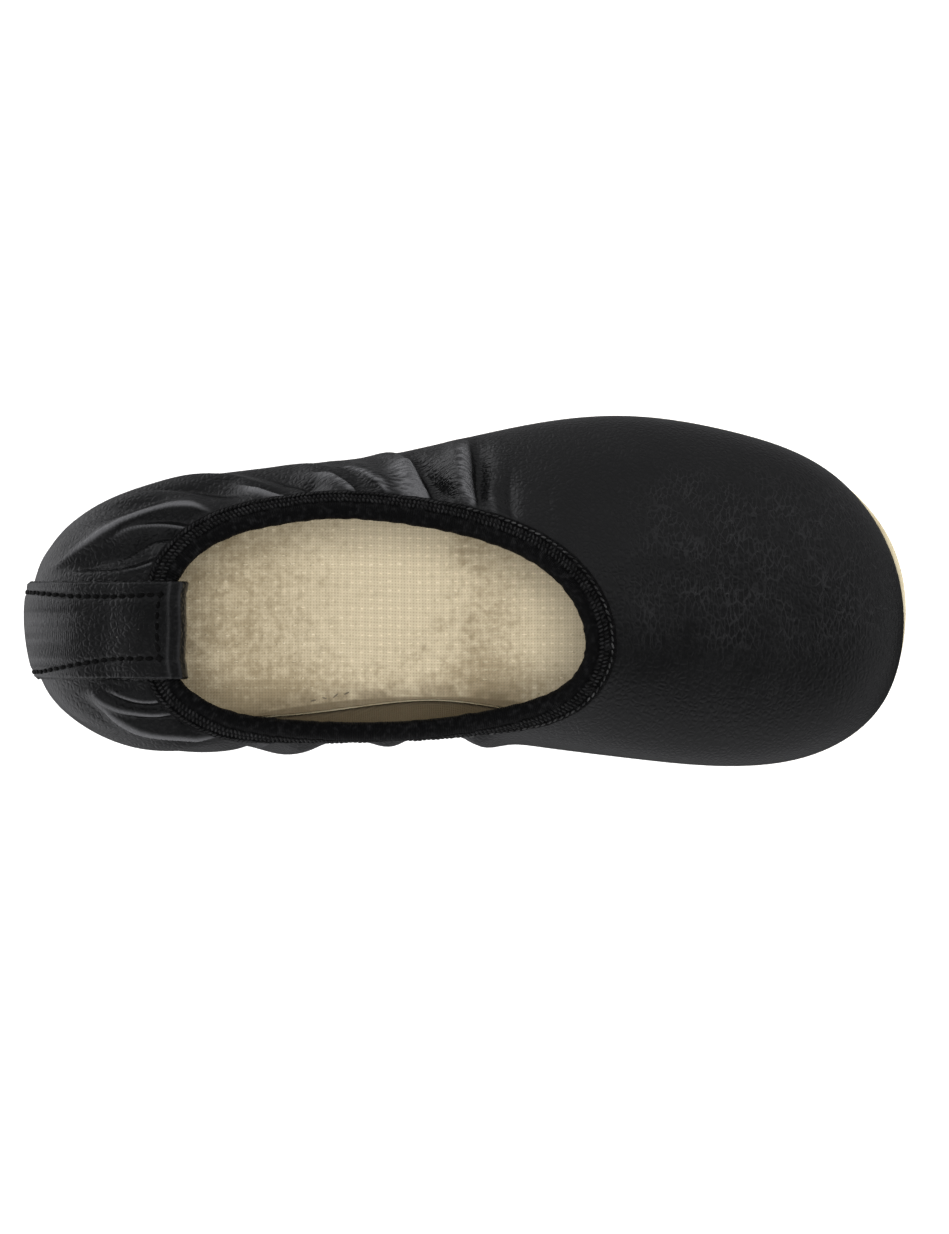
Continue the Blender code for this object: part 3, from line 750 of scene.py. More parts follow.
@dataclass
class Last:
    """The shoe's form: sole line, collar line, sections between them, gathers and creases."""

    length: float = 180 * MM
    ball_width: float = 71 * MM
    heel_height: float = 36.5 * MM
    instep_height: float = 40 * MM
    collar_dip: float = 5 * MM
    leather: float = 1.2 * MM
    gap: float = 0.3 * MM
    sole_thickness: float = 2.6 * MM
    sole_lip: float = 1.0 * MM
    toe_spring: float = 2.4 * MM
    toe_spring_start: float = 0.80
    arch_rise: float = 1.0 * MM
    arch_start: float = 0.34
    arch_end: float = 0.60
    hem: float = 4.5 * MM
    strip_width: float = 19.5 * MM
    strip_centre: float = -0.046 * 71 * MM
    strip_margin: float = 1.5 * MM
    strip_hold_end: float = 0.25
    fold_rise: float = 0.2
    fold_fade: float = 0.6
    crease_rise: float = 0.16
    crease_fade: float = 0.40
    crease_power: float = 1.3
    crease_samples: int = 28
    crease_hem: float = 2.6 * MM
    crease_clear: float = 1.8 * MM
    rub_width: float = 0.12 * MM
    rub_share: float = 0.22
    foot_calm: float = 0.25
    edge_weight: float = 2.0
    crease_reach: float = 3.0
    bearing_samples: int = 720
    girth_samples: int = 121
    side_samples: int = 2001
    profile_points: int = 97
    step: float = 0.0008
    reach: float = 0.25 * MM
    origin: np.ndarray = field(default_factory=lambda: np.zeros(3))

    def __post_init__(self) -> None:
        """Solves the closed lines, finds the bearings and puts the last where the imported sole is."""
        rows = self.rows()
        steps = np.roll(rows, -1, axis=0) - rows
        spacing = np.hypot(steps[:, 0], steps[:, 1]) + self.edge_weight * np.hypot(steps[:, 2], steps[:, 3])
        self.line = ClosedSpline(np.append(0.0, np.cumsum(spacing)[:-1]) / spacing.sum(), rows)
        turns = np.linspace(0.0, 1.0, self.bearing_samples, endpoint=False)
        edges = self.line.at(turns)[:, 2:4]
        from_middle = edges - edges.mean(axis=0)
        bearings = np.degrees(np.arctan2(from_middle[:, 1], from_middle[:, 0])) % 360
        order = np.argsort(bearings)
        self.bearings = bearings[order]
        self.bearing_turns = np.unwrap(2 * math.pi * turns[order]) / (2 * math.pi)
        self.edge_girth = self.girth(0.0)
        self.foot_girth = self.girth(1.0)
        outline = self.outline(turns, 0.0, self.sole_lip)
        middle = 0.5 * (outline.min(axis=0) + outline.max(axis=0))
        low, high = (np.array(corner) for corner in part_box("outsole"))
        self.origin = np.append(0.5 * (low + high)[:2] - middle, low[2])

    def rows(self) -> np.ndarray:
        """Turns the sections into metres and radians.

        Returns:
            Rows of foot x and y, edge x, y and z, leans, pulls and lip.
        """
        back = SECTIONS[0].edge_x
        front = max(s.edge_x for s in SECTIONS)
        rows = []
        for s in SECTIONS:
            along = (s.edge_x - back) / (front - back)
            rise = (self.instep_height - self.heel_height) * along
            edge_z = self.heel_height + rise - s.dip * self.collar_dip
            foot = [s.foot_x * self.length, s.foot_y * self.ball_width]
            edge = [s.edge_x * self.length, s.edge_y * self.ball_width, edge_z]
            leans = [math.radians(s.foot_lean), math.radians(s.edge_lean)]
            rows.append(foot + edge + leans + [s.foot_pull, s.edge_pull, s.lip])
        return np.array(rows)

    def turn_at(self, bearing: float) -> float:
        """Share of the turn where the collar edge has this bearing."""
        return float(np.interp(bearing, self.bearings, self.bearing_turns))

    def ground(self, x: np.ndarray) -> np.ndarray:
        """Height of the sole's underside.

        Args:
            x: Distance from the back of the heel.

        Returns:
            Height, raised at the arch and the toe.
        """
        share = x / self.length
        arch = np.clip((share - self.arch_start) / (self.arch_end - self.arch_start), 0.0, 1.0)
        toe = np.maximum(share - self.toe_spring_start, 0.0) / (1.0 - self.toe_spring_start)
        return self.arch_rise * np.sin(math.pi * arch) ** 2 + self.toe_spring * toe**2

    def outward(self, turns: np.ndarray, column: int) -> np.ndarray:
        """Unit normals in plan.

        Args:
            turns: Shares of the turn.
            column: 0 for the foot line, 2 for the collar line.

        Returns:
            One horizontal vector for each turn.
        """
        along = self.line.at(turns + self.step) - self.line.at(turns - self.step)
        normal = np.stack([along[:, column + 1], -along[:, column], np.zeros(len(turns))], axis=1)
        return normal / np.linalg.norm(normal, axis=1, keepdims=True)

    def outline(self, turns: np.ndarray, offset: float, lip: float = 0.0) -> np.ndarray:
        """Foot line in plan, moved outward.

        Args:
            turns: Shares of the turn.
            offset: Distance that holds all round.
            lip: Distance that holds by the sections' shares.

        Returns:
            One point for each turn.
        """
        row = self.line.at(turns)
        return row[:, :2] + (offset + lip * row[:, 9:10]) * self.outward(turns, 0)[:, :2]

    def side_turns(self, x: np.ndarray) -> tuple[np.ndarray, np.ndarray]:
        """Turns where the foot line has given distances from the back of the heel.

        Args:
            x: Distances, between the heel's and the toe's rounding.

        Returns:
            Turns on the inner side and turns on the outer side.
        """
        turns = np.linspace(0.0, 1.0, self.side_samples)
        along = self.line.at(turns)[:, 0]
        along[-1] = along[0]
        toe = int(np.argmax(along))
        inner = np.interp(x, along[: toe + 1], turns[: toe + 1])
        return inner, np.interp(x, along[toe:][::-1], turns[toe:][::-1])

    def profiles(self, turns: np.ndarray) -> tuple[np.ndarray, np.ndarray]:
        """Sections before they are gathered.

        Args:
            turns: Shares of the turn.

        Returns:
            Points of each section from the collar edge to the foot, and their distances from the edge.
        """
        row = self.line.at(turns)
        up = np.array([0.0, 0.0, 1.0])
        foot_z = self.ground(row[:, 0]) + self.sole_thickness + self.gap
        foot = np.column_stack([row[:, 0], row[:, 1], foot_z])
        edge = row[:, 2:5]
        chord = np.linalg.norm(edge - foot, axis=1, keepdims=True)
        foot_lean, edge_lean = row[:, 5:6], row[:, 6:7]
        leave = np.sin(foot_lean) * self.outward(turns, 0) + np.cos(foot_lean) * up
        arrive = np.cos(edge_lean) * up - np.sin(edge_lean) * self.outward(turns, 2)
        handle_foot = foot + row[:, 7:8] * chord * leave
        handle_edge = edge - row[:, 8:9] * chord * arrive
        t = np.linspace(0.0, 1.0, self.profile_points)[None, :, None]
        points = (1 - t) ** 3 * edge[:, None] + 3 * (1 - t) ** 2 * t * handle_edge[:, None]
        points = points + 3 * (1 - t) * t**2 * handle_foot[:, None] + t**3 * foot[:, None]
        lengths = np.cumsum(np.linalg.norm(np.diff(points, axis=1), axis=2), axis=1)
        return points, np.hstack([np.zeros((len(turns), 1)), lengths])

    def lengths(self, turns: np.ndarray) -> np.ndarray:
        """Length of each section from the collar edge to the foot."""
        return self.profiles(turns)[1][:, -1]

    def girth(self, ring: float) -> float:
        """Length round the shoe.

        Args:
            ring: 0 for the collar edge, 1 for the foot line, or a share between.

        Returns:
            The length.
        """
        turns = np.linspace(0.0, 1.0, self.girth_samples)
        points = self.smooth(turns, ring * self.lengths(turns)[:, None])[:, 0]
        return float(np.linalg.norm(np.diff(points, axis=0), axis=1).sum())

    def smooth(self, turns: np.ndarray, depth: np.ndarray) -> np.ndarray:
        """Points of the leather's outer face before it is gathered, from the back of the heel.

        Args:
            turns: Shares of the turn, one for each section.
            depth: Distances from the collar edge, one row for each section.

        Returns:
            One row of points for each section.
        """
        points, lengths = self.profiles(turns)
        inside = np.clip(depth, 0.0, lengths[:, -1:])
        found = np.empty(depth.shape + (3,))
        for i, row in enumerate(inside):
            for k in range(3):
                found[i, :, k] = np.interp(row, lengths[i], points[i, :, k])
        beyond = (depth - inside)[:, :, None]
        above = (points[:, 1] - points[:, 0]) / lengths[:, 1:2]
        below = (points[:, -1] - points[:, -2]) / (lengths[:, -1:] - lengths[:, -2:-1])
        return found + np.where(beyond < 0, beyond * above[:, None], beyond * below[:, None])

    def smooth_frame(self, turns: np.ndarray, depth: np.ndarray) -> tuple[np.ndarray, np.ndarray]:
        """Ungathered face with its directions.

        Args:
            turns: Shares of the turn, one for each section.
            depth: Distances from the collar edge, one row for each section.

        Returns:
            Points and outward normals.
        """
        around = self.smooth(turns + self.step, depth) - self.smooth(turns - self.step, depth)
        upward = self.smooth(turns, depth - self.reach) - self.smooth(turns, depth + self.reach)
        normal = np.cross(around, upward)
        return self.smooth(turns, depth), normal / np.linalg.norm(normal, axis=2, keepdims=True)

    def held_flat(self, points: np.ndarray) -> np.ndarray:
        """Share of the gathers that is left beside the heel strip.

        Args:
            points: Places on the ungathered face.

        Returns:
            Shares from 0 under the strip to 1.
        """
        beside = np.abs(points[..., 1] - self.strip_centre) - 0.5 * self.strip_width - self.strip_margin
        ahead = points[..., 0] > self.strip_hold_end * self.length
        return np.where(ahead, 1.0, ease(beside / self.strip_margin))

    def fold_lift(self, turns: np.ndarray, depth: np.ndarray) -> np.ndarray:
        """Height of the broad gathers over the smooth form.

        Args:
            turns: Shares of the turn, one for each section.
            depth: Distances from the collar edge, one row for each section.

        Returns:
            One row of heights for each section.
        """
        ring = np.clip(depth / self.lengths(turns)[:, None], 0.0, 1.0)
        around = self.edge_girth + (self.foot_girth - self.edge_girth) * ring
        lift = np.zeros_like(depth)
        for fold in FOLDS:
            start, end = self.turn_at(fold.bearing), self.turn_at(fold.end_bearing)
            along = (depth - self.hem) / (fold.reach * MM - self.hem)
            across = (turns[:, None] - start - (end - start) * along + 0.5) % 1.0 - 0.5
            spread = across * around / (0.5 * fold.width * MM)
            fade = ease(along / self.fold_rise) * ease((1.0 - along) / self.fold_fade)
            lift += fold.height * MM * fade * np.exp(-spread * spread)
        return lift * ease((1.0 - ring) / self.foot_calm)

    def crease_line(self, crease: Crease) -> np.ndarray:
        """Line of a crease on the ungathered face.

        Args:
            crease: The crease.

        Returns:
            Points along it, from the collar outward.
        """
        knots = np.array(crease.line)
        share = np.linspace(0.0, len(knots) - 1.0, self.crease_samples)
        order = np.arange(len(knots))
        bearings = np.interp(share, order, knots[:, 0])
        depths = np.interp(share, order, knots[:, 1]) * MM
        return self.smooth(np.array([self.turn_at(bearing) for bearing in bearings]), depths[:, None])[:, 0]

    def crease_lift(
        self, base: np.ndarray, normal: np.ndarray, depth: np.ndarray
    ) -> tuple[np.ndarray, np.ndarray]:
        """Height of the narrow creases over the gathers.

        Args:
            base: Points of the ungathered face.
            normal: Outward normals at them.
            depth: Their distances from the collar edge.

        Returns:
            Heights, and how much rubbing and painted sheen each point has along a crease's top.
        """
        lift, rub_and_sheen = np.zeros(depth.shape), np.zeros(depth.shape)
        for crease in CREASES:
            line = self.crease_line(crease)
            reach = self.crease_reach * max(crease.left, crease.right) * MM
            near = np.all((base > line.min(axis=0) - reach) & (base < line.max(axis=0) + reach), axis=2)
            spots, rows = base[near], np.arange(int(near.sum()))
            steps = np.diff(line, axis=0)
            offset = spots[:, None] - line[None, :-1]
            share = np.clip((offset * steps).sum(axis=2) / (steps * steps).sum(axis=1), 0.0, 1.0)
            offset = offset - share[:, :, None] * steps
            distance = np.linalg.norm(offset, axis=2)
            nearest = distance.argmin(axis=1)
            along = (nearest + share[rows, nearest]) / len(steps)
            side = (np.cross(normal[near], steps[nearest]) * offset[rows, nearest]).sum(axis=1)
            width = np.where(side > 0, crease.left, crease.right) * MM
            fade = ease(along / self.crease_rise) * ease((1.0 - along) / self.crease_fade)
            spread = (distance[rows, nearest] / width) ** self.crease_power
            lift[near] += crease.height * MM * fade * np.exp(-spread)
            # The painted sheen spreads further on a crease's broader side.
            worn = distance[rows, nearest] / (self.rub_width + self.rub_share * width * np.sqrt(width / MM))
            rub_and_sheen[near] += max(crease.height, 0.0) * fade * np.exp(-worn * worn)
        clear = ease((depth - self.crease_hem) / self.crease_clear)
        return lift * clear, rub_and_sheen * clear

    def under_skin(self, turns: np.ndarray, depth: np.ndarray, below: np.ndarray) -> np.ndarray:
        """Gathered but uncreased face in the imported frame.

        Args:
            turns: Shares of the turn, one for each section.
            depth: Distances from the collar edge, one row for each section.
            below: Distances inward from the outer face.

        Returns:
            One row of points for each section.
        """
        base, normal = self.smooth_frame(turns, depth)
        lift = self.fold_lift(turns, depth) * self.held_flat(base) - below
        return base + lift[:, :, None] * normal + self.origin

    def skin(self, turns: np.ndarray, depth: np.ndarray) -> tuple[np.ndarray, np.ndarray]:
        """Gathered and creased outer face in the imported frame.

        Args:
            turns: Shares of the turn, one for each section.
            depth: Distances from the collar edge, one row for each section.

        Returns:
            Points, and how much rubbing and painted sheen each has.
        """
        base, normal = self.smooth_frame(turns, depth)
        calm = self.held_flat(base)
        creases, rub_and_sheen = self.crease_lift(base, normal, depth)
        lift = (self.fold_lift(turns, depth) + creases) * calm
        return base + lift[:, :, None] * normal + self.origin, rub_and_sheen * calm

    def off_skin(self, turns: np.ndarray, depth: np.ndarray, height: np.ndarray) -> np.ndarray:
        """Points at heights over the ungathered outer face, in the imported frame."""
        base, normal = self.smooth_frame(turns, depth)
        return base + height[:, :, None] * normal + self.origin

    def over_edge(self, turns: np.ndarray, angles: np.ndarray, height: np.ndarray) -> np.ndarray:
        """Round path over the collar edge.

        Args:
            turns: Shares of the turn.
            angles: From 0 outside to pi inside.
            height: Distance off the leather, one row for each turn.

        Returns:
            One row of points for each turn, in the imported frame.
        """
        edge = np.zeros((len(turns), 1))
        base, normal = self.smooth_frame(turns, edge)
        onward = base - self.smooth(turns, edge + self.reach)
        onward /= np.linalg.norm(onward, axis=2, keepdims=True)
        middle = base - 0.5 * self.leather * normal
        reach = (0.5 * self.leather + height)[:, :, None]
        around = np.cos(angles)[None, :, None] * normal + np.sin(angles)[None, :, None] * onward
        return middle + reach * around + self.origin


class Pieces:
    """Makes pieces from arrays of points and hands them to the frame."""

    @staticmethod
    def swept(
        name: str,
        points: np.ndarray,
        around: bool,
        lengths: np.ndarray | None = None,
        attributes: dict[str, np.ndarray] | None = None,
    ) -> bpy.types.Object:
        """Closed solid from section loops.

        Args:
            name: Name of the piece.
            points: One closed loop of points for each section.
            around: Whether the last section joins the first; if not, both ends are capped.
            lengths: Metres along and across for the UV map, one more each way than there are faces, or only
                two columns, which every face of a section then shares.
            attributes: Numbers for every point by attribute name.

        Returns:
            The object, at the origin.
        """
        count, loop = points.shape[:2]
        index = np.arange(count * loop).reshape(count, loop)
        i, j = np.meshgrid(np.arange(count if around else count - 1), np.arange(loop), indexing="ij")
        k, m = (i + 1) % count, (j + 1) % loop
        faces = np.stack([index[i, j], index[k, j], index[k, m], index[i, m]], axis=-1)
        faces = faces.reshape(-1, 4).tolist()
        if not around:
            for first in range(loop // 2 - 1):
                cap = [first, first + 1, loop - 2 - first, loop - 1 - first]
                faces.append(index[0, cap].tolist())
                faces.append(index[-1, cap[::-1]].tolist())
        mesh = bpy.data.meshes.new(name)
        mesh.from_pydata(points.reshape(-1, 3).tolist(), [], faces)
        if lengths is not None:
            left = np.minimum(j, lengths.shape[1] - 2)
            right = left + 1
            corners = [lengths[i, left], lengths[i + 1, left], lengths[i + 1, right], lengths[i, right]]
            corners = np.stack(corners, axis=2)
            flat = np.zeros((len(mesh.loops), 2))
            flat[: corners.size // 2] = corners.reshape(-1, 2)
            mesh.uv_layers.new(name="UVMap").data.foreach_set("uv", flat.ravel())
        for key, values in (attributes or {}).items():
            mesh.attributes.new(key, "FLOAT", "POINT").data.foreach_set("value", values.ravel())
        return Pieces.link(name, mesh)

    @staticmethod
    def plate(name: str, rings: list[np.ndarray]) -> bpy.types.Object:
        """Closed plate from rings of points, from the middle of the underside round to the middle of the top.

        Args:
            name: Name of the piece.
            rings: Arrays with the same number of points; the first and last fold up into a line and are
                welded.

        Returns:
            The object, at the origin.
        """
        shape = bmesh.new()
        loops = [[shape.verts.new(point) for point in ring] for ring in rings]
        count = len(loops[0])
        for lower, upper in zip(loops, loops[1:]):
            for i in range(count):
                k = (i + 1) % count
                shape.faces.new((lower[i], lower[k], upper[k], upper[i]))
        bmesh.ops.remove_doubles(shape, verts=shape.verts, dist=1e-6)
        bmesh.ops.recalc_face_normals(shape, faces=shape.faces)
        mesh = bpy.data.meshes.new(name)
        shape.to_mesh(mesh)
        shape.free()
        return Pieces.link(name, mesh)

    @staticmethod
    def link(name: str, mesh: bpy.types.Mesh) -> bpy.types.Object:
        """Puts a mesh in the scene, shaded smooth.

        Args:
            name: Name of the object.
            mesh: Its mesh.

        Returns:
            The object.
        """
        mesh.shade_smooth()
        made = bpy.data.objects.new(name, mesh)
        bpy.context.scene.collection.objects.link(made)
        return made

    @staticmethod
    def hand_over(
        piece: bpy.types.Object, finish: bpy.types.Material, slot: Slot, node: str | None = None
    ) -> None:
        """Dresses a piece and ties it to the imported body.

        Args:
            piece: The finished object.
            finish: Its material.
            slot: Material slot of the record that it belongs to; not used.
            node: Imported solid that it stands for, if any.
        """
        piece.data.materials.clear()
        piece.data.materials.append(finish)
        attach(piece, "root")
        if node:
            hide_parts(node)
        triangles = sum(len(face.vertices) - 2 for face in piece.data.polygons)
        LOG.info("%s: %d triangles", piece.name, triangles)


class NodeTool:
    """A Geometry Nodes tree with named inputs, run once on a mesh and applied."""

    def __init__(self, name: str, inputs: dict[str, str]) -> None:
        """Starts the tree.

        Args:
            name: Name of the tree.
            inputs: Socket type of each input by its name.
        """
        self.tree = bpy.data.node_groups.new(name, "GeometryNodeTree")
        self.sheet = NodeSheet(self.tree)
        panel = self.tree.interface
        panel.new_socket("Geometry", in_out="INPUT", socket_type="NodeSocketGeometry")
        panel.new_socket("Geometry", in_out="OUTPUT", socket_type="NodeSocketGeometry")
        self.keys = {}
        for key, kind in inputs.items():
            self.keys[key] = panel.new_socket(key, in_out="INPUT", socket_type=kind).identifier
        self.entry = self.tree.nodes.new("NodeGroupInput")

    def input(self, name: str) -> Wire:
        """Wire of one input."""
        return Wire(self.sheet, self.entry.outputs[name])

    def end(self, geometry: Wire, finish: Wire) -> None:
        """Realizes the instances, sets their material and closes the tree.

        Args:
            geometry: The instances.
            finish: Their material.
        """
        real = self.sheet.node("GeometryNodeRealizeInstances", {}, {"Geometry": geometry})
        dressed = self.sheet.node("GeometryNodeSetMaterial", {}, {"Geometry": real, "Material": finish})
        leave = self.tree.nodes.new("NodeGroupOutput")
        self.tree.links.new(dressed.socket, leave.inputs["Geometry"])

    def apply(self, name: str, mesh: bpy.types.Mesh, values: dict[str, object]) -> bpy.types.Object:
        """Runs the tree on a mesh and keeps only its result.

        Args:
            name: Name of the piece.
            mesh: What the tree starts from.
            values: Value of each input by its name.

        Returns:
            Object with the plain mesh that the tree made.
        """
        made = bpy.data.objects.new(name, mesh)
        bpy.context.scene.collection.objects.link(made)
        modifier = made.modifiers.new(name, "NODES")
        modifier.node_group = self.tree
        for key, value in values.items():
            modifier[self.keys[key]] = value
        graph = bpy.context.evaluated_depsgraph_get()
        result = bpy.data.meshes.new_from_object(made.evaluated_get(graph), depsgraph=graph)
        made.modifiers.clear()
        made.data = result
        bpy.data.meshes.remove(mesh)
        result.name = name
        return made


class StitchTool(NodeTool):
    """Rows of stitches along paths that lie on a surface."""

    INPUTS: ClassVar[dict[str, str]] = {
        "Pitch": "NodeSocketFloat",
        "Length": "NodeSocketFloat",
        "Width": "NodeSocketFloat",
        "Height": "NodeSocketFloat",
        "Lean": "NodeSocketFloat",
        "Sway": "NodeSocketFloat",
        "Seed": "NodeSocketInt",
        "Thread": "NodeSocketMaterial",
    }

    def __init__(self) -> None:
        """Builds the tree: points along each path, with a rounded stitch on each, lying on the surface."""
        super().__init__("stitches", self.INPUTS)
        sheet = self.sheet
        curve = sheet.node("GeometryNodeMeshToCurve", {}, {"Mesh": self.input("Geometry")})
        points = sheet.node(
            "GeometryNodeResampleCurve", {"mode": "LENGTH"}, {"Curve": curve, "Length": self.input("Pitch")}
        )
        named = {"data_type": "FLOAT_VECTOR"}
        normal = sheet.node("GeometryNodeInputNamedAttribute", named, {"Name": NORMAL_ATTRIBUTE})
        tangent = sheet.node("GeometryNodeInputTangent")
        upright = sheet.node("FunctionNodeAlignRotationToVector", {"axis": "Z"}, {"Vector": normal})
        turned = sheet.node(
            "FunctionNodeAlignRotationToVector",
            {"axis": "X", "pivot_axis": "Z"},
            {"Rotation": upright, "Vector": tangent},
        )
        sway = self.random(-1.0, 1.0) * self.input("Sway") + self.input("Lean")
        twist = sheet.node("ShaderNodeCombineXYZ", {}, {"Z": sway})
        leaning = sheet.node("FunctionNodeEulerToRotation", {}, {"Euler": twist})
        twisted = sheet.node(
            "FunctionNodeRotateRotation",
            {"rotation_space": "LOCAL"},
            {"Rotation": turned, "Rotate By": leaning},
        )
        ball = sheet.node("GeometryNodeMeshUVSphere", {}, {"Segments": 8, "Rings": 5, "Radius": 0.5})
        soft = sheet.node("GeometryNodeSetShadeSmooth", {}, {"Geometry": ball})
        size = {
            "X": self.input("Length") * self.random(0.85, 1.1),
            "Y": self.input("Width"),
            "Z": self.input("Height"),
        }
        placed = sheet.node(
            "GeometryNodeInstanceOnPoints",
            {},
            {
                "Points": points,
                "Instance": soft,
                "Rotation": twisted,
                "Scale": sheet.node("ShaderNodeCombineXYZ", {}, size),
            },
        )
        self.end(placed, self.input("Thread"))

    def random(self, low: float, high: float) -> Wire:
        """Random number for each stitch, from the seed."""
        limits = {"Min_001": low, "Max_001": high, "Seed": self.input("Seed")}
        return self.sheet.node("FunctionNodeRandomValue", {"data_type": "FLOAT"}, limits, "Value_001")

    @staticmethod
    def path_mesh(paths: list[tuple[np.ndarray, np.ndarray]]) -> bpy.types.Mesh:
        """Mesh of open lines that carries the surface's normals.

        Args:
            paths: Points and normals of each line.

        Returns:
            The mesh.
        """
        edges = []
        start = 0
        for points, _ in paths:
            edges += [(start + i, start + i + 1) for i in range(len(points) - 1)]
            start += len(points)
        mesh = bpy.data.meshes.new("paths")
        mesh.from_pydata(np.vstack([points for points, _ in paths]).tolist(), edges, [])
        normals = np.vstack([normals for _, normals in paths])
        carried = mesh.attributes.new(NORMAL_ATTRIBUTE, "FLOAT_VECTOR", "POINT")
        carried.data.foreach_set("vector", normals.ravel())
        return mesh


class WeaveTool(NodeTool):
    """Short raised threads in a grid over the top of a plate."""

    INPUTS: ClassVar[dict[str, str]] = {
        "Size X": "NodeSocketFloat",
        "Size Y": "NodeSocketFloat",
        "Count X": "NodeSocketInt",
        "Count Y": "NodeSocketInt",
        "Middle": "NodeSocketVector",
        "Length": "NodeSocketFloat",
        "Width": "NodeSocketFloat",
        "Height": "NodeSocketFloat",
        "Stray": "NodeSocketFloat",
        "Seed": "NodeSocketInt",
        "Thread": "NodeSocketMaterial",
    }

    def __init__(self) -> None:
        """Builds the tree: a grid dropped on to the plate, with a thread on each point that lands."""
        super().__init__("weave", self.INPUTS)
        sheet = self.sheet
        size = {"Size X": self.input("Size X"), "Size Y": self.input("Size Y")}
        count = {"Vertices X": self.input("Count X"), "Vertices Y": self.input("Count Y")}
        grid = sheet.node("GeometryNodeMeshGrid", {}, size | count)
        stray = {
            "X": self.random(-1.0, 1.0) * self.input("Stray"),
            "Y": self.random(-1.0, 1.0, 7) * self.input("Stray"),
        }
        shift = sheet.node(
            "ShaderNodeVectorMath",
            {"operation": "ADD"},
            {0: self.input("Middle"), 1: sheet.node("ShaderNodeCombineXYZ", {}, stray)},
        )
        above = sheet.node("GeometryNodeSetPosition", {}, {"Geometry": grid, "Offset": shift})
        ray = {
            "Target Geometry": self.input("Geometry"),
            "Ray Direction": (0.0, 0.0, -1.0),
            "Ray Length": 1.0,
        }
        landed = sheet.node("GeometryNodeRaycast", {}, ray, "Is Hit")
        missed = sheet.node("FunctionNodeBooleanMath", {"operation": "NOT"}, {"Boolean": landed})
        kept = sheet.node(
            "GeometryNodeDeleteGeometry", {"domain": "POINT"}, {"Geometry": above, "Selection": missed}
        )
        spot = sheet.node("GeometryNodeRaycast", {}, ray, "Hit Position")
        dropped = sheet.node("GeometryNodeSetPosition", {}, {"Geometry": kept, "Position": spot})
        ball = sheet.node("GeometryNodeMeshUVSphere", {}, {"Segments": 6, "Rings": 4, "Radius": 0.5})
        soft = sheet.node("GeometryNodeSetShadeSmooth", {}, {"Geometry": ball})
        form = {
            "X": self.input("Length") * self.random(0.35, 1.15, 3),
            "Y": self.input("Width") * self.random(0.5, 1.05, 4),
            "Z": self.input("Height"),
        }
        turn = sheet.node("ShaderNodeCombineXYZ", {}, {"Z": self.random(-0.16, 0.16, 5)})
        placed = sheet.node(
            "GeometryNodeInstanceOnPoints",
            {},
            {
                "Points": dropped,
                "Instance": soft,
                "Rotation": sheet.node("FunctionNodeEulerToRotation", {}, {"Euler": turn}),
                "Scale": sheet.node("ShaderNodeCombineXYZ", {}, form),
            },
        )
        self.end(placed, self.input("Thread"))

    def random(self, low: float, high: float, shift: int = 0) -> Wire:
        """Random number for each thread, from the seed and a shift of it."""
        limits = {"Min_001": low, "Max_001": high, "Seed": self.input("Seed") + float(shift)}
        return self.sheet.node("FunctionNodeRandomValue", {"data_type": "FLOAT"}, limits, "Value_001")


@dataclass(frozen=True)
class Stitching:
    """Sizes of one kind of stitch."""

    pitch: float
    length: float
    width: float
    height: float
    lean: float = 0.0
    sway: float = 0.1
    seed: int = 1

    def sew(
        self,
        name: str,
        tool: StitchTool,
        paths: list[tuple[np.ndarray, np.ndarray]],
        thread: bpy.types.Material,
    ) -> bpy.types.Object:
        """Sews rows of stitches.

        Args:
            name: Name of the piece.
            tool: The stitch tree.
            paths: Points and surface normals of each row.
            thread: Material of the thread.

        Returns:
            Object with all the stitches.
        """
        values = {key.capitalize(): value for key, value in asdict(self).items()}
        return tool.apply(name, StitchTool.path_mesh(paths), values | {"Thread": thread})


